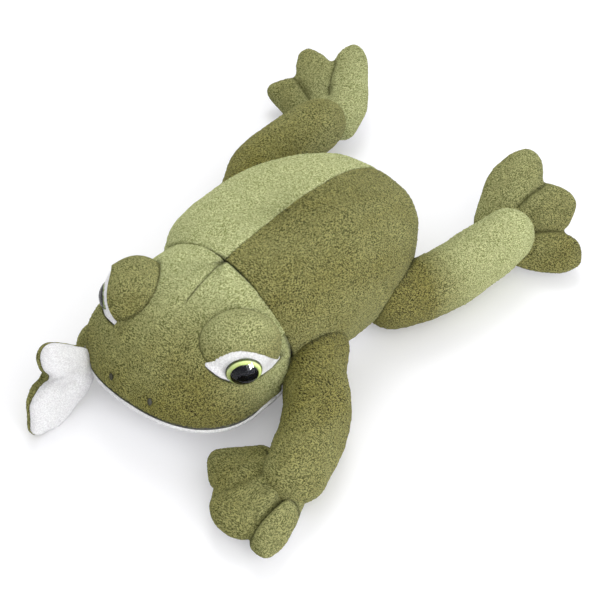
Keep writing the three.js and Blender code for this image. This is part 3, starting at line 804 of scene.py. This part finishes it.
LEFT_ARM = [(44, -6, 25), (61, -36, 22), (80, -56, 19), (92, -81, 17), (104, -111, 14)]
RIGHT_ARM = [(-42, -6, 25), (-54, -30, 18), (-58, -52, 12), (-56, -78, 11), (-51, -102, 13)]
LEFT_LEG = [(44, 24, 20), (57, 44, 19), (66, 70, 19), (70, 98, 20), (73, 122, 23), (75, 137, 24)]
RIGHT_LEG = [(-44, 26, 20), (-60, 45, 20), (-77, 72, 20), (-80, 104, 20), (-76, 138, 23), (-75, 146, 24)]
# Each limb: its path, its width and height at the root, the middle and the end, and the painted light there,
# mostly with painted shade towards the root.
LIMBS = {
    "arm_left": dict(path=LEFT_ARM, wide=(14, 22, 16), tall=(15, 21, 12), nap=(0.0, 0.02, 0.18)),
    "arm_right": dict(path=RIGHT_ARM, wide=(13, 10, 8.5), tall=(14, 12, 10), nap=(0.2, 0.2, 0.2)),
    "leg_left": dict(path=LEFT_LEG, wide=(16, 21.5, 14), tall=(17, 19, 14.5), nap=(-0.35, 0.72, 1.0)),
    "leg_right": dict(path=RIGHT_LEG, wide=(16, 21, 15.5), tall=(17, 19, 14.5), nap=(0.05, 0.08, 0.2)),
}


def share_along(points, path):
    """How far along a limb each point lies, from 0 at the root to 1 at the end."""
    share, centre, ahead = along_path(path, 60)
    tree = tree_of(centre)
    return share[[tree.find(p)[1] for p in points]]


for name, limb_of in LIMBS.items():
    limb = limb_surface(limb_of["path"], limb_of["wide"], limb_of["tall"])
    limb = dented(dented(limb, 22, 1.2, len(name)), 9, 0.45, 7.0)
    limb = trimmed(onto_floor(limb), lambda p: trunk_form.gauge(p, -1.5))
    limb = napped(limb, 0.16, len(name) + 40)
    nap = np.interp(share_along(limb[0], limb_of["path"]), (0.15, 0.5, 0.9), limb_of["nap"])
    # Painted shade where the limb meets the trunk.
    root_shade = 0.85 * bell(trunk_form.gauge(limb[0]) * 20, 1.5)
    pieces[name] = piece(name + "_tube", onto_floor(limb), CLOTH["limb"], nap, root_shade)

# %% [markdown]
# ## Hands and feet
# Each is two flat pieces of plush cut to one outline with three toes, green above and white below, sewn
# together and stuffed. The outline is a smooth curve through some twenty corners, in the pad's own plane.
# Lines of stitches through both faces part the toes, and the cloth is pressed down along them, with painted
# shade in these creases and along the seam. Light and shade are painted across each pad as well.

# %% Pads
PAD_HALF = 9
# Each pad: where it lies, its top's direction, the height of its seam, the painted light at both ends of a
# ramp, the direction in its plane towards the lit end (pale), its outline, and its creases, each with its
# line of stitches, depth, width and how dark its painted shade is.
PADS = {
    "hand_left": dict(
        at=(94, -113, 10), top=(0, 0, 1), seam=-3.5, nap=(0.16, 0.32), pale=(1, 0),
        outline=[
            (-24, 26), (-29, 21), (-37, 12), (-42, 6), (-41, 0), (-37, -5), (-30, -11), (-25, -13),
            (-21, -18), (-17, -24), (-9, -29), (1, -31), (8, -29), (12, -26), (16, -30), (23, -31),
            (27, -29), (28, -24), (27, -14), (24, -5), (20, 4), (16, 12), (5, 20), (-10, 25),
        ],
        creases=[
            ([(-26, -22), (-20, -19), (-14, -10), (-10, 1), (-6, 12)], 2.4, 3.0, 0.3),
            ([(16, -36), (15, -31), (12, -19), (10.5, -7), (10, 4)], 4.5, 2.2, 0.9),
            ([(-19, 21), (-6, 12), (9, 4), (18, 4), (24, 0)], 1.0, 2.0, 0.8),
        ],
    ),
    "hand_right": dict(
        at=(-42, -124, 24), top=(-0.94, -0.03, -0.33), seam=-0.3, nap=(0.1, 0.25), pale=(0, 1),
        outline=[
            (-18, 6), (-15, -1), (-9, -10), (-2, -18), (5, -20), (12, -19), (16, -15), (21, -8),
            (25, 4), (28, 14), (28, 23), (27, 30), (22, 33), (16, 31), (8, 29), (4, 24), (1, 18),
            (0, 12), (-6, 14), (-13, 14), (-17, 11),
        ],
        creases=[([(0, 16), (5, 9), (7, 0)], 2.0, 2.5, 0.2)],
    ),
    "foot_left": dict(
        at=(74, 144, 18), top=(0.2, -0.31, 0.93), seam=-3.5, nap=(0.1, 0.4), pale=(-1, 0.3),
        outline=[
            (-26, -22), (-30, -15), (-34, -6), (-38, 6), (-39, 17), (-38, 27), (-35, 34), (-31, 38),
            (-26, 39), (-20, 37), (-15, 32), (-11, 26), (-5, 27), (2, 29), (8, 29), (13, 26), (16, 20),
            (18, 13), (18, 7), (23, 5), (30, 4), (35, 0), (38, -5), (37, -11), (32, -17), (24, -22),
            (14, -27), (4, -29), (-9, -28), (-19, -25),
        ],
        creases=[
            ([(-9, 30), (-8, 22), (-10, 11), (-11, 0)], 3.6, 2.4, 0.6),
            ([(24, 8), (19, 4), (12, -2), (5, -8)], 3.6, 2.4, 0.6),
        ],
    ),
    "foot_right": dict(
        at=(-97, 161, 17), top=(0, -0.34, 0.94), seam=-3.0, nap=(0.32, 0.84), pale=(1, 0.4),
        outline=[
            (-17, -27), (-28, -23), (-36, -19), (-38, -14), (-34, -8), (-29, -3), (-28, 1), (-33, 7),
            (-37, 15), (-35, 21), (-31, 22), (-23, 22), (-14, 21), (-13, 29), (-12, 35), (-9, 39),
            (-3, 39), (4, 35), (12, 26), (21, 14), (30, 0), (33, -12), (31, -22), (16, -29), (-3, -30),
        ],
        creases=[
            ([(-32, -1), (-23, -4), (-14, -8), (-5, -12)], 3.6, 2.4, 0.6),
            ([(-15, 25), (-8, 18), (-2, 6), (4, -3)], 3.6, 2.4, 0.6),
        ],
    ),
}


def sewn_outline(corners):
    """A plan for a stuffed form, from a smooth closed curve through the corners."""
    p = np.array(corners, float)
    before, after, beyond = np.roll(p, 1, axis=0), np.roll(p, -1, axis=0), np.roll(p, -2, axis=0)
    u = np.linspace(0, 1, 20, endpoint=False)[:, None, None]
    curve = p + 0.5 * (
        (after - before) * u
        + (2 * before - 5 * p + 4 * after - beyond) * u**2
        + (3 * p - before - 3 * after + beyond) * u**3
    )
    x, y = curve.reshape(-1, 2).T

    def plan(angle, grow=0.0):
        reach = reach_at(angle, x, y) + grow
        return reach * np.cos(angle), reach * np.sin(angle)

    return plan


def pad_axes(pad):
    top = np.array(pad["top"], float)
    top /= np.linalg.norm(top)
    across = np.array([1.0, 0, 0]) - top * top[0]
    across /= np.linalg.norm(across)
    return np.stack([across, np.cross(top, across), top], 1), np.array(pad["at"], float)


def line_distance(points, line):
    """How far points lie from a line of stitches, both in the pad's own plane."""
    best = np.full(len(points), 1e3)
    for a, b in zip(np.array(line[:-1], float), np.array(line[1:], float)):
        share = np.clip((points - a) @ (b - a) / ((b - a) @ (b - a)), 0, 1)
        best = np.minimum(best, np.linalg.norm(points - a - share[:, None] * (b - a), axis=1))
    return best


def pad_surface(pad):
    """The stuffed pad in its own axes, and the painted shade of its stitched creases at each point."""
    face = {"apex": (0, 0), "full": 2.6, "height": PAD_HALF}
    form = Stuffed(sewn_outline(pad["outline"]), 0.0, face, {**face, "height": -PAD_HALF})
    points, triangles = smoothed(form.surface(420, 80, 60), 3)
    crease_shade = np.zeros(len(points))
    for line, depth, width, dark in pad["creases"]:
        away = line_distance(points[:, :2], line)
        press = bell(away, width) * np.abs(points[:, 2]) / PAD_HALF
        points[:, 2] -= np.sign(points[:, 2]) * depth * press
        # Painted shade in the crease, as dark as listed.
        crease_shade = np.maximum(crease_shade, dark * bell(away, 0.35 * width))
    return points, triangles, crease_shade


def pad_half(points, triangles, crease_shade, level, side):
    """The part of a pad above or below its seam, with the painted shade of its creases."""
    marked = np.column_stack([points, crease_shade])
    half = trimmed((marked, triangles), lambda p: side * (p[:, 2] - level))
    return (half[0][:, :3], half[1]), half[0][:, 3]


for name, pad in PADS.items():
    axes, middle = pad_axes(pad)
    points, triangles, crease_shade = pad_surface(pad)
    local_form = dented(dented((points, triangles), 16, 0.9, len(name)), 7, 0.3, 4.0)
    for side, part, seed in ((1, "top", 50), (-1, "sole", 51)):
        half, shade_marks = pad_half(*local_form, crease_shade, pad["seam"], side)
        # Painted shade in the stitched creases and along the seam.
        shade_marks = np.maximum(shade_marks, 0.7 * seam_line(half))
        half = drawn_in(half, 1.0, 1.3)
        # Painted light across the pad, rising along the pale direction.
        nap = ramp(half[0][:, :2] @ pad["pale"], -25, 25, *pad["nap"])
        half = napped(half, 0.15, seed)
        placed = onto_floor((half[0] @ axes.T + middle, half[1]))
        pieces[f"{name}_{part}"] = piece(f"{name}_{part}", placed, CLOTH["pad"], nap, shade_marks)

# %% [markdown]
# ## The plastic eyes
# Each eye is a moulded part on a post: a yellow-green iris, a black pupil and a clear cap
# over both. Turned parts are easy by hand: a dome is the cap of a ball, cut off at the right
# height, and a filled circle is inset and lifted for the iris.

# %% Eye parts
IRIS_STEPS = ((0.5, 0.3), (1.4, 0.9), (1.2, -0.5))


def opened(name, add, **settings):
    """A new basic mesh, with all of it selected for editing."""
    bpy.ops.object.select_all(action="DESELECT")
    add(**settings)
    bpy.context.object.name = name
    bpy.ops.object.mode_set(mode="EDIT")
    bpy.ops.mesh.select_all(action="SELECT")
    return bpy.context.object


def seated(made, side):
    """Ends the editing of a mesh round the eye's own axis, and sets it in its eye."""
    bpy.ops.object.mode_set(mode="OBJECT")
    bpy.ops.object.shade_smooth_by_angle(angle=0.8)
    matrix = Matrix(eye_turn(side).tolist()).to_4x4()
    matrix.translation = Vector(eye_seat(side) * MM)
    made.data.transform(matrix @ Matrix.Scale(MM, 4))
    made.data.update()
    return made


def dome(name, side, radius, rise, low):
    """A cap cut off a ball, so wide and so high."""
    ball = (radius**2 + rise**2) / (2 * rise)
    made = opened(name, bpy.ops.mesh.primitive_uv_sphere_add, segments=64, ring_count=48, radius=1)
    bpy.ops.transform.resize(value=(ball, ball, ball))
    bpy.ops.mesh.bisect(plane_co=(0, 0, ball - rise), plane_no=(0, 0, 1), clear_inner=True, use_fill=True)
    bpy.ops.mesh.select_all(action="SELECT")
    bpy.ops.transform.translate(value=(0, 0, low + rise - ball))
    return seated(made, side)


def iris_disc(side):
    """A thick disc whose top steps up to a ridge and down to the pupil."""
    add = bpy.ops.mesh.primitive_circle_add
    made = opened(f"iris_ring_{side}", add, vertices=96, radius=9.5, fill_type="NGON")
    bpy.ops.mesh.extrude_region_move(TRANSFORM_OT_translate={"value": (0, 0, 0.9)})
    for inset, rise in IRIS_STEPS:
        bpy.ops.mesh.inset(thickness=inset)
        bpy.ops.transform.translate(value=(0, 0, rise))
    bpy.ops.mesh.select_all(action="SELECT")
    bpy.ops.mesh.normals_make_consistent(inside=False)
    return seated(made, side)


for side in SIGN:
    pieces["iris_" + side] = iris_disc(side)
    pieces["pupil_" + side] = dome(f"pupil_dome_{side}", side, radius=7.3, rise=3.2, low=1.7)
    pieces["cap_" + side] = dome(f"clear_cap_{side}", side, radius=9.9, rise=6.0, low=-0.2)
print("eyes:", [name for name in pieces if "iris" in name])

# %% [markdown]
# ## Nostrils
# Two short ovals of dark thread, sunk into the snout.

# %% Nostrils
for side in SIGN:
    add = bpy.ops.mesh.primitive_uv_sphere_add
    bead = opened(f"nostril_thread_{side}", add, segments=32, ring_count=20, radius=1)
    bpy.ops.transform.resize(value=(1.3, 1.0, 2.6))
    bpy.ops.object.mode_set(mode="OBJECT")
    place = Matrix.Translation(Vector(nostril_place(side) + np.array([0, 0.9, 0])) * MM)
    turn = Matrix.Rotation(math.radians(SIGN[side] * 12), 4, "Z")
    bead.data.transform(place @ turn @ Matrix.Scale(MM, 4))
    bpy.ops.object.shade_smooth()
    pieces["nostril_" + side] = bead

# %% [markdown]
# ## Short-pile plush
# Plush is a knitted backing with a millimetre or two of upright fibres. Near, it is a fine speckle of tips
# and gaps, and the gaps get painted shade, as shade lies deep in the pile. From a step away it shows strokes
# where the pile leans, and a pale bloom at the edges, where one looks through the tips. The speckle, the
# strokes and the height are one node group that every plush uses with its own colours. The group also paints
# light and shade: it mixes a shaded and a lit copy of the colours by each piece's painted light, and paints
# shade along the seams. The bloom is sheen on the shader itself.

# %% The pile as a node group
PILE_INPUTS = ("Shaded deep", "Shaded tips", "Lit deep", "Lit tips", "Seam shade")
TUFTS = 1900.0


class Board:
    """Adds nodes to a node tree and wires them, so that a sum reads like one."""

    def __init__(self, tree):
        self.nodes, self.links = tree.nodes, tree.links

    def feed(self, target, value):
        if isinstance(value, bpy.types.NodeSocket):
            self.links.new(value, target)
        else:
            target.default_value = value

    def add(self, kind, inputs=(), **settings):
        made = self.nodes.new("ShaderNode" + kind)
        for key, value in settings.items():
            setattr(made, key, value)
        for key, value in dict(inputs).items():
            self.feed(made.inputs[key], value)
        return made

    def maths(self, operation, first, second=0.0, clamp=False):
        return self.add("Math", {0: first, 1: second}, operation=operation, use_clamp=clamp).outputs[0]

    def grain(self, vector, scale, detail, rough, low, high, twist=0.0):
        """A noise, spread so that it runs from 0 at low to 1 at high."""
        inputs = {"Vector": vector, "Scale": scale, "Detail": detail, "Roughness": rough, "Distortion": twist}
        value = self.add("TexNoise", inputs).outputs["Fac"]
        return self.add("MapRange", {"Value": value, "From Min": low, "From Max": high}).outputs["Result"]

    def blend(self, share, first, second):
        return self.add("Mix", {0: share, 6: first, 7: second}, data_type="RGBA").outputs[2]


def pile_group():
    group = bpy.data.node_groups.new("plush pile", "ShaderNodeTree")
    for name in PILE_INPUTS:
        group.interface.new_socket(name=name, in_out="INPUT", socket_type="NodeSocketColor")
    group.interface.new_socket(name="Brushing", in_out="INPUT", socket_type="NodeSocketFloat")
    for name, kind in (("Color", "Color"), ("Roughness", "Float"), ("Height", "Float")):
        group.interface.new_socket(name=name, in_out="OUTPUT", socket_type="NodeSocket" + kind)
    board = Board(group)
    given = group.nodes.new("NodeGroupInput").outputs
    result = group.nodes.new("NodeGroupOutput").inputs
    place = board.add("TexCoord").outputs["Object"]
    along = board.add("Mapping", {"Vector": place, "Scale": (1.0, 0.4, 1.0)}).outputs[0]
    across = board.add("Mapping", {"Vector": place, "Scale": (0.4, 1.0, 1.0)}).outputs[0]
    # Painted light of each piece: 0 takes the shaded colours, 1 the lit ones.
    nap = board.add("Attribute", attribute_name="nap").outputs["Fac"]
    # Painted shade in the seams' grooves and where parts meet.
    seam = board.add("Attribute", attribute_name="seam").outputs["Fac"]
    speckle = board.grain(place, TUFTS, 0.0, 0.5, 0.44, 0.56, 1.2)
    swirl = board.grain(place, 60.0, 1.0, 0.5, 0.44, 0.56)
    first = board.grain(along, TUFTS, 0.0, 0.5, 0.44, 0.57, 0.4)
    second = board.grain(across, TUFTS, 0.0, 0.5, 0.44, 0.57, 0.4)
    tuft = board.add("Mix", {0: swirl, 2: first, 3: second}).outputs[0]
    stroke = board.grain(along, 75.0, 2.0, 0.5, 0.3, 0.7)
    patch = board.grain(place, 24.0, 2.0, 0.5, 0.3, 0.7)
    fine, coarse = board.maths("MULTIPLY", speckle, 0.35), board.maths("MULTIPLY", tuft, 0.65)
    fibres = board.maths("ADD", fine, coarse)
    worn = board.maths("SUBTRACT", board.maths("MULTIPLY", board.maths("ADD", stroke, patch), 0.5), 0.5)
    # The painted light, moved a little by random brushed strokes.
    lean = board.maths("ADD", nap, board.maths("MULTIPLY", worn, given["Brushing"]), True)
    shadow = board.blend(lean, given["Shaded deep"], given["Lit deep"])
    light = board.blend(lean, given["Shaded tips"], given["Lit tips"])
    # The tips, or the gaps between them, where painted shade lies deep in the pile.
    cloth = board.blend(fibres, shadow, light)
    # Painted seam shade over the cloth.
    board.feed(result["Color"], board.blend(seam, cloth, given["Seam shade"]))
    board.feed(result["Roughness"], board.maths("SUBTRACT", 0.98, board.maths("MULTIPLY", fibres, 0.12)))
    board.feed(result["Height"], board.maths("ADD", fibres, board.maths("MULTIPLY", stroke, 0.35)))
    return group


PILE = pile_group()
print("pile sockets:", [item.name for item in PILE.interface.items_tree])

# %% Green and white plush


def linear(red, green, blue):
    """A colour read off a picture, 0 to 255, as Blender's linear colour."""
    values = [c / 255 for c in (red, green, blue)]
    return tuple(c / 12.92 if c <= 0.04045 else ((c + 0.055) / 1.055) ** 2.4 for c in values) + (1.0,)


def simple(name, colour, roughness, **sockets):
    material = bpy.data.materials.new(name)
    material.use_nodes = True
    shader = material.node_tree.nodes["Principled BSDF"]
    shader.inputs["Base Color"].default_value = colour
    shader.inputs["Roughness"].default_value = roughness
    for key, value in sockets.items():
        shader.inputs[key.replace("_", " ")].default_value = value
    return material


def plush(name, dark, pale, seam_shade, bloom, brushing, sheen, relief):
    """Dark and pale are the painted shaded and lit copies of one plush, each a pair of colours: deep in the
    pile, where painted shade lies between the tips, and on the tips. The seam shade is the painted shade in
    the seams.
    """
    sockets = {"Sheen Weight": sheen, "Sheen Roughness": 0.4, "Sheen Tint": linear(*bloom)}
    material = simple(name, (0.8, 0.8, 0.8, 1), 0.5, Specular_IOR_Level=0.12, **sockets)
    board = Board(material.node_tree)
    shader = board.nodes["Principled BSDF"].inputs
    colours = dict(zip(PILE_INPUTS, (linear(*colour) for colour in (*dark, *pale, seam_shade))))
    pile = board.add("Group", {**colours, "Brushing": brushing}, node_tree=PILE).outputs
    bump = board.add("Bump", {"Strength": relief, "Distance": 0.0008, "Height": pile["Height"]})
    board.feed(shader["Base Color"], pile["Color"])
    board.feed(shader["Roughness"], pile["Roughness"])
    board.feed(shader["Normal"], bump.outputs["Normal"])
    return material


# Each plush has a painted shaded copy (dark), a painted lit copy (pale) and a painted seam shade.
plush(
    "green plush",
    dark=((20, 18, 1), (160, 154, 80)),
    pale=((130, 138, 74), (226, 230, 174)),
    seam_shade=(58, 58, 26),
    bloom=(196, 204, 150),
    brushing=0.22,
    sheen=0.22,
    relief=0.7,
)
plush(
    "white plush",
    dark=((224, 223, 225), (253, 253, 254)),
    pale=((228, 227, 229), (254, 254, 254)),
    seam_shade=(188, 186, 188),
    bloom=(255, 255, 255),
    brushing=0.3,
    sheen=0.2,
    relief=0.5,
)
print("plush:", [material.name for material in bpy.data.materials])

# %% [markdown]
# ## Cloth, thread and plastic
# The glove and the mouth are thin cloth without pile, so they get a fine weave. The iris is
# printed plastic with rays that run out from the pupil and a dark rim, and the pupil
# and the clear cap are gloss.

# %% Other finishes
WEAVE = 70.0
RIM = {"start": 0.0066, "end": 0.0098}
RINGS = [
    (0.0, (128, 142, 58)), (1.0, (22, 24, 12)),
    (0.35, (160, 176, 98)), (0.76, (192, 205, 134)), (0.9, (66, 78, 30)),
]


def weave(name, dark, light):
    """Threads both ways, in the colour and in the height."""
    material = simple(name, linear(*dark), 0.85)
    board = Board(material.node_tree)
    shader = board.nodes["Principled BSDF"].inputs
    place = board.add("TexCoord").outputs["Object"]
    inputs = {"Vector": place, "Scale": WEAVE, "Distortion": 1.5, "Detail": 2.0}
    waves = [board.add("TexWave", inputs, bands_direction=way).outputs["Fac"] for way in "XY"]
    both = board.maths("MULTIPLY", *waves)
    bump = board.add("Bump", {"Strength": 0.4, "Distance": 0.0003, "Height": both})
    board.feed(shader["Base Color"], board.blend(both, linear(*dark), linear(*light)))
    board.feed(shader["Normal"], bump.outputs["Normal"])


def iris_finish(side):
    """Rays and a dark rim, by distance and angle from the eye's axis."""
    material = simple(f"iris print {side}", linear(190, 200, 120), 0.25)
    board = Board(material.node_tree)
    axes, seat = eye_turn(side), eye_seat(side) * MM
    place = board.add("TexCoord").outputs["Object"]
    shift = board.add("VectorMath", {0: place, 1: seat.tolist()}, operation="SUBTRACT").outputs["Vector"]
    x, y = (
        board.add("VectorMath", {0: shift, 1: axis.tolist()}, operation="DOT_PRODUCT").outputs["Value"]
        for axis in axes.T[:2]
    )
    flat = board.add("CombineXYZ", {0: x, 1: y}).outputs[0]
    away = board.add("VectorMath", {0: flat}, operation="LENGTH").outputs["Value"]
    turn = board.add("CombineXYZ", {0: board.maths("ARCTAN2", y, x)}).outputs[0]
    rays = board.add("TexNoise", {"Vector": turn, "Scale": 9.0, "Detail": 3.0}).outputs["Color"]
    span = board.add("MapRange", {"Value": away, "From Min": RIM["start"], "From Max": RIM["end"]})
    rings = board.add("ValToRGB", {"Fac": span.outputs["Result"]})
    stops = rings.color_ramp.elements
    for k, (position, colour) in enumerate(RINGS):
        stop = stops[k] if k < 2 else stops.new(position)
        stop.position, stop.color = position, linear(*colour)
    inputs = {0: 0.35, 6: rings.outputs["Color"], 7: rays}
    mixed = board.add("Mix", inputs, data_type="RGBA", blend_type="MULTIPLY").outputs[2]
    board.feed(board.nodes["Principled BSDF"].inputs["Base Color"], mixed)
    return material


weave("lining cloth", (74, 84, 44), (118, 130, 76))
weave("mouth cloth", (38, 40, 22), (70, 74, 42))
simple("black plastic", linear(2, 2, 6), 0.3, Specular_IOR_Level=0.0)
simple("clear plastic", (1, 1, 1, 1), 0.02, Transmission_Weight=1.0, IOR=1.33)
simple("dark thread", linear(46, 46, 24), 0.85)
simple("stiff board", linear(205, 200, 184), 0.7)
simple("white nylon", linear(235, 235, 232), 0.4)
print("finishes:", sorted(material.name for material in bpy.data.materials))

# %% [markdown]
# ## Dressing the pieces
# Each piece takes its material, the body that it moves with and the imported solids that it stands for. A
# piece of cloth that crosses a joint is given no body instead and stays where it lies, as the back does at
# the neck, the chin at the corners of the mouth and each limb at its root.

# %% Materials, bodies and joints
CARRIED = {
    "stiff board": ("palate_board", "jaw_board"),
    "white nylon": ("eye_washer_left", "eye_washer_right"),
}
LIMB_PARTS = {"arm": ("hand", "hand_cover", "palm_cover"), "leg": ("foot", "foot_cover", "sole_cover")}


def dress(key, slot, nodes, body=None, material=None):
    """Without a material of its own, a piece takes the one with the slot's name."""
    made = pieces[key]
    made.data.materials.clear()
    made.data.materials.append(material or bpy.data.materials[slot.replace("_", " ")])
    if body:
        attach(made, body)
    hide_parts(*nodes)


dress("back_left", "green_plush", ["back_cover_left", "body_stuffing"], None)
dress("back_right", "green_plush", ["back_cover_right"], None)
dress("belly", "white_plush", ["belly_cover"], "trunk")
for key in ("back_left", "back_right"):
    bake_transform(pieces[key])
dress("hem", "lining_cloth", ["opening_hem"], "trunk")
dress("glove", "lining_cloth", ["glove_lining"], "trunk")
dress("head", "green_plush", ["head_cover", "head_stuffing"], "head")
dress("throat", "white_plush", ["throat_panel"], "head")
dress("chin", "white_plush", ["chin_cover", "chin_stuffing"], None)
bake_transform(pieces["chin"])
dress("roof", "mouth_cloth", ["palate_lining"], "head")
dress("floor", "mouth_cloth", ["mouth_floor"], "jaw")
for side in SIGN:
    dress("hood_" + side, "green_plush", ["eye_mound_" + side], "head")
    dress("white_" + side, "white_plush", ["eye_white_" + side], "head")
    dress("iris_" + side, "iris_plastic", ["iris_" + side], "head", material=iris_finish(side))
    dress("pupil_" + side, "black_plastic", ["pupil_" + side], "head")
    dress("cap_" + side, "clear_plastic", ["cornea_" + side], "head")
    dress("nostril_" + side, "dark_thread", ["nostril_" + side], "head")
    for limb, (end, upper, lower) in LIMB_PARTS.items():
        name, pad = f"{limb}_{side}", f"{end}_{side}"
        dress(name, "green_plush", [f"{limb}_cover_{side}", f"{limb}_stuffing_{side}"], None)
        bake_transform(pieces[name])
        dress(pad + "_top", "green_plush", [f"{upper}_{side}", f"{end}_stuffing_{side}"], pad)
        dress(pad + "_sole", "white_plush", [f"{lower}_{side}"], pad)

for finish, nodes in CARRIED.items():
    for node in nodes:
        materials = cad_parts[node].data.materials
        materials.clear()
        materials.append(bpy.data.materials[finish])
print("pieces:", len(pieces))

# %% [markdown]
# ## Floor, light and camera
# A white floor with soft light from above and behind, as in a product picture. The floor's
# own colour makes the white, with a little lift where the camera and mirrors see it, so
# that the shadow stays and no lamp is turned up for it.

# %% Stage
FLOOR_LIFT = 0.21
SKY = 0.78


def where_seen(board, ray, plain, seen):
    """One shader for the camera and for one kind of ray, and another for all the rest."""
    path = board.add("LightPath").outputs
    either = board.maths("MAXIMUM", path["Is Camera Ray"], path[ray])
    return board.add("MixShader", {0: either, 1: plain, 2: seen}).outputs[0]


bpy.ops.object.select_all(action="DESELECT")
bpy.ops.mesh.primitive_plane_add(size=12, location=(0, 0, -0.0002))
floor = bpy.context.object
floor.name = "studio_floor"
floor_finish = simple("floor white", (0.8, 0.8, 0.82, 1), 0.9, Specular_IOR_Level=0.1)
board = Board(floor_finish.node_tree)
plain = board.nodes["Principled BSDF"].outputs[0]
glow = board.add("Emission", {"Strength": FLOOR_LIFT}).outputs[0]
lifted = board.add("AddShader", {0: plain, 1: glow}).outputs[0]
surface = board.nodes["Material Output"].inputs["Surface"]
board.feed(surface, where_seen(board, "Is Glossy Ray", plain, lifted))
floor.data.materials.append(floor_finish)

world = bpy.data.worlds.new("studio")
scene.world = world
world.use_nodes = True
board = Board(world.node_tree)
backdrop = board.nodes["Background"]
board.feed(backdrop.inputs["Color"], (1, 1, 1, 1))
board.feed(backdrop.inputs["Strength"], SKY)
white_seen = board.add("Background", {"Strength": 1.0}).outputs[0]
surface = board.nodes["World Output"].inputs["Surface"]
board.feed(surface, where_seen(board, "Is Transmission Ray", backdrop.outputs[0], white_seen))


def soft_lamp(name, place, aim, size, watts):
    data = bpy.data.lights.new(name, "AREA")
    data.shape, data.size, data.size_y, data.energy = "RECTANGLE", size, size, watts
    lamp = bpy.data.objects.new(name, data)
    lamp.location = place
    lamp.rotation_euler = (Vector(aim) - Vector(place)).to_track_quat("-Z", "Y").to_euler()
    lamp.visible_camera = False
    scene.collection.objects.link(lamp)
    return lamp


soft_lamp("key", (-0.9, 1.2, 1.6), (0, 0, 0.03), 1.0, 16)
soft_lamp("fill", (1.0, -0.6, 1.2), (0, 0, 0.03), 1.2, 4)
soft_lamp("side", (1.0, -0.2, 0.34), (0.04, -0.08, 0.04), 0.6, 4)
glint = soft_lamp("glint", (1.05, 0.0, 0.36), (0.04, -0.08, 0.04), 0.5, 60)
glint.visible_diffuse = False

camera_data = bpy.data.cameras.new("camera")
camera_data.sensor_width = 36
camera_data.lens = 120.9
camera_data.clip_end = 50
camera = bpy.data.objects.new("camera", camera_data)
around, above = math.radians(41), math.radians(43)
away = Vector((math.sin(around) * math.cos(above), -math.cos(around) * math.cos(above), math.sin(above)))
camera.location = Vector((0.0305, -0.0135, 0.040)) + away * 1.1
camera.rotation_euler = (-away).to_track_quat("-Z", "Y").to_euler()
scene.collection.objects.link(camera)
scene.camera = camera
scene.view_settings.view_transform = "Standard"
print("camera at", tuple(round(v, 3) for v in camera.location))
